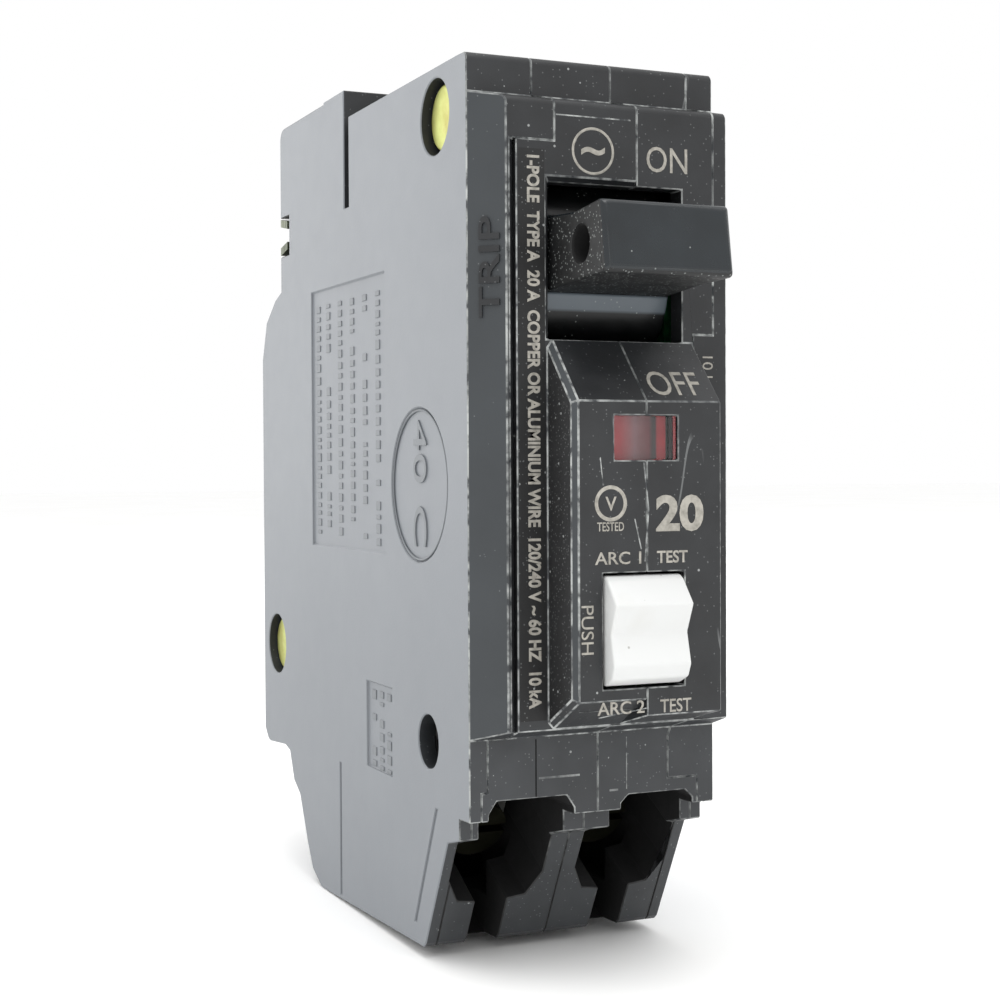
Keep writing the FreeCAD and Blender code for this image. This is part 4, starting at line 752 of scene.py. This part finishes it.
NOSE_PLANE = (Vector((0, nose_y, 0)), RIGHT, UP)
BLOCK_PLANE = (Vector((0, block_y, 0)), RIGHT, UP)
SKIRT_PLANE = (Vector((0, SKIRT_Y * MM, 0)), RIGHT, UP)
strip_marks("label_ground", BLOCK_PLANE, [((-7.5, 24.6), (-7.5, 75.9), 2.6)], label_ground)
strip_marks("nose_scratches", NOSE_PLANE, [
    ((-3.34, 48.25), (-3.07, 45.8), 0.1), ((0.08, 42.8), (0.72, 40.1), 0.12),
    ((1.0, 47.8), (1.47, 43.7), 0.14), ((1.47, 43.7), (1.1, 39.0), 0.16),
    ((-3.6, 25.3), (1.2, 25.9), 0.1)], edge_wear)
strip_marks("lip_line", BLOCK_PLANE, [((-5.04, 79.1), (2.55, 79.1), 0.12)], edge_wear)
strip_marks("skirt_lines", SKIRT_PLANE, [
    ((-5.8, 18.9), (-1.6, 18.9), 0.2), ((3.3, 17.2), (3.3, 22.1), 0.1),
    ((1.5, 17.2), (2.4, 17.2), 0.2)], edge_wear)
strip_marks("skirt_seam", SKIRT_PLANE, [((-6.07, 17.2), (-6.07, 22.5), 0.14)], painted_shade_and_seam_black)


# %% [markdown]
# TRIP is raised out of the chamfer in the plain black face finish, so it stays darker than the
# chamfer's painted reflection; the dark letters stand in for the shade on their strokes.

# %% Raised word on the chamfer
chamfer_foot = Vector((left_x, SKIRT_Y * MM, 60.8 * MM)) - chamfer_run * 3.15 * MM
word("raised_trip_word", "TRIP", chamfer_foot, UP, chamfer_run, 9.0 * MM, 1.95 * MM,
     finish=moulded_face, rise=0.22 * MM, bold=0.01)


# %% [markdown]
# The left cover carries sunk panels with raised rows of small moulded marks. They are drawn as rows
# of short bars, in the sunk floor's depth, so nothing stands out past the side. Random lengths come
# from a fixed seed, so every run makes the same rows.

# %% Raised rows in the sunk panels
SHORTEST, LONGEST, GAP = 0.5, 1.3, 0.25     # a bar's step and the gap after it, in millimetres
DRAWN = 0.88         # share of the steps that carry a bar
FILLED = 0.75        # part of its step that a bar fills
BAR_HEIGHT, BAR_DEPTH = 0.2 * MM, 0.25 * MM     # its thickness, and its middle below the side


def bar_rows(name, columns, head_z, foot_z, bar_mm, seed):
    """Rows of raised bars that run down the left face, one row for each depth in columns."""
    chance = random.Random(seed)
    mesh = bmesh.new()
    for depth in columns:
        height = head_z
        while height > foot_z:
            length = chance.uniform(SHORTEST, LONGEST)
            if chance.random() < DRAWN:
                block = bmesh.ops.create_cube(mesh, size=1.0)["verts"]
                stretch = Matrix.Diagonal((BAR_HEIGHT, bar_mm * MM, length * FILLED * MM, 1))
                middle = (left_x + BAR_DEPTH, depth * MM, (height - length / 2) * MM)
                bmesh.ops.transform(mesh, matrix=Matrix.Translation(middle) @ stretch, verts=block)
            height -= length + GAP
    piece = linked_piece(name, mesh, side_marks_painted_reflection)
    apply_modifier(piece, "BEVEL", width=0.05 * MM, segments=1, limit_method="ANGLE")
    ride_housing(piece)


bar_rows("plate_rows", (-3.4, 0.6, 4.6, 8.6, 12.6, 16.0), 65.6, 40.2, 1.25, 3)
bar_rows("panel_rows", (-6.2, -4.0, -1.8), 24.6, 16.8, 1.2, 5)


def dial_ring(name, depth, height, across, line):
    """A thin raised ring on the floor of the sunk dial of the left cover."""
    piece = ring(name, (left_x + 0.15 * MM, depth * MM, height * MM), (0, QUARTER_TURN, 0),
                 across, line, 96)
    piece.data.materials.append(side_marks_painted_reflection)
    ride_housing(piece)


dial_ring("dial_rim", -15.25, 45.75, 14.6, 0.22)
word("dial_temperature", "40 C", (left_x + 0.2 * MM, -13.6 * MM, 52.0 * MM), DOWN,
     Vector((0, -1, 0)), 12.2 * MM, 3.4 * MM, finish=side_marks_painted_reflection, rise=0.1 * MM)


# %% [markdown]
# The part stands on a wide sheet of matt white paper in a white room. Two soft boxes do the rest: a
# large one behind on the left that rakes the side wall, and one above in front.

# %% Floor, lamps and world
paper, paper_tree, paper_shader = new_material("matt_white_paper", Roughness=0.9)
paper_colour = blend_colours(paper_tree, blotches(paper_tree, 90, 0.3, 0.7), "FFFFFF", "FCFCFB")
paper_tree.links.new(paper_colour, paper_shader.inputs["Base Color"])
bpy.ops.object.select_all(action="DESELECT")
bpy.ops.mesh.primitive_plane_add(size=6.0)
floor = bpy.context.object
floor.name = "studio_floor"
floor.data.materials.append(paper)


PART_MIDDLE = Vector((0, 0, 0.044))


def soft_box(name, place, size, watts):
    """A square area lamp aimed at the middle of the part."""
    lamp = bpy.data.lights.new(name, "AREA")
    lamp.size = size
    lamp.energy = watts
    thing = bpy.data.objects.new(name, lamp)
    bpy.context.scene.collection.objects.link(thing)
    thing.location = place
    thing.rotation_euler = (PART_MIDDLE - Vector(place)).to_track_quat("-Z", "Y").to_euler()
    thing.visible_camera = False


soft_box("side_box", (-0.42, 0.78, 0.12), 1.1, 6.0)
soft_box("top_box", (-0.05, -0.25, 0.65), 0.5, 2.2)
world = bpy.data.worlds.new("white_room")
bpy.context.scene.world = world
world.use_nodes = True
backdrop = world.node_tree.nodes["Background"]
backdrop.inputs["Color"].default_value = (1, 1, 1, 1)
backdrop.inputs["Strength"].default_value = 1.0
bpy.context.scene.view_settings.view_transform = "Standard"


# %% [markdown]
# The camera stands low on the left, a short portrait lens away, turned about 24 degrees.

# %% Camera
def camera_turn(yaw, pitch, roll):
    """The camera's rotation from its heading, tilt and roll in degrees."""
    yaw, pitch, roll = (math.radians(angle) for angle in (yaw, pitch, roll))
    ahead = Vector((math.sin(yaw) * math.cos(pitch), math.cos(yaw) * math.cos(pitch),
                    math.sin(pitch)))
    level = Vector((math.cos(yaw), -math.sin(yaw), 0))
    above = level.cross(ahead)
    right = level * math.cos(roll) + above * math.sin(roll)
    top = above * math.cos(roll) - level * math.sin(roll)
    return Matrix((right, top, -ahead)).transposed()


lens = bpy.data.cameras.new("portrait_camera")
lens.sensor_width = 36.0
lens.lens = 62.41
lens.clip_start = 0.01
camera = bpy.data.objects.new("portrait_camera", lens)
bpy.context.scene.collection.objects.link(camera)
CAMERA_PLACE = Vector((-73.112, -170.917, 47.667)) * MM
camera.matrix_world = Matrix.LocRotScale(CAMERA_PLACE, camera_turn(23.903, -1.169, -0.273), None)
bpy.context.scene.camera = camera
print("camera at", [round(v / MM, 1) for v in camera.location])
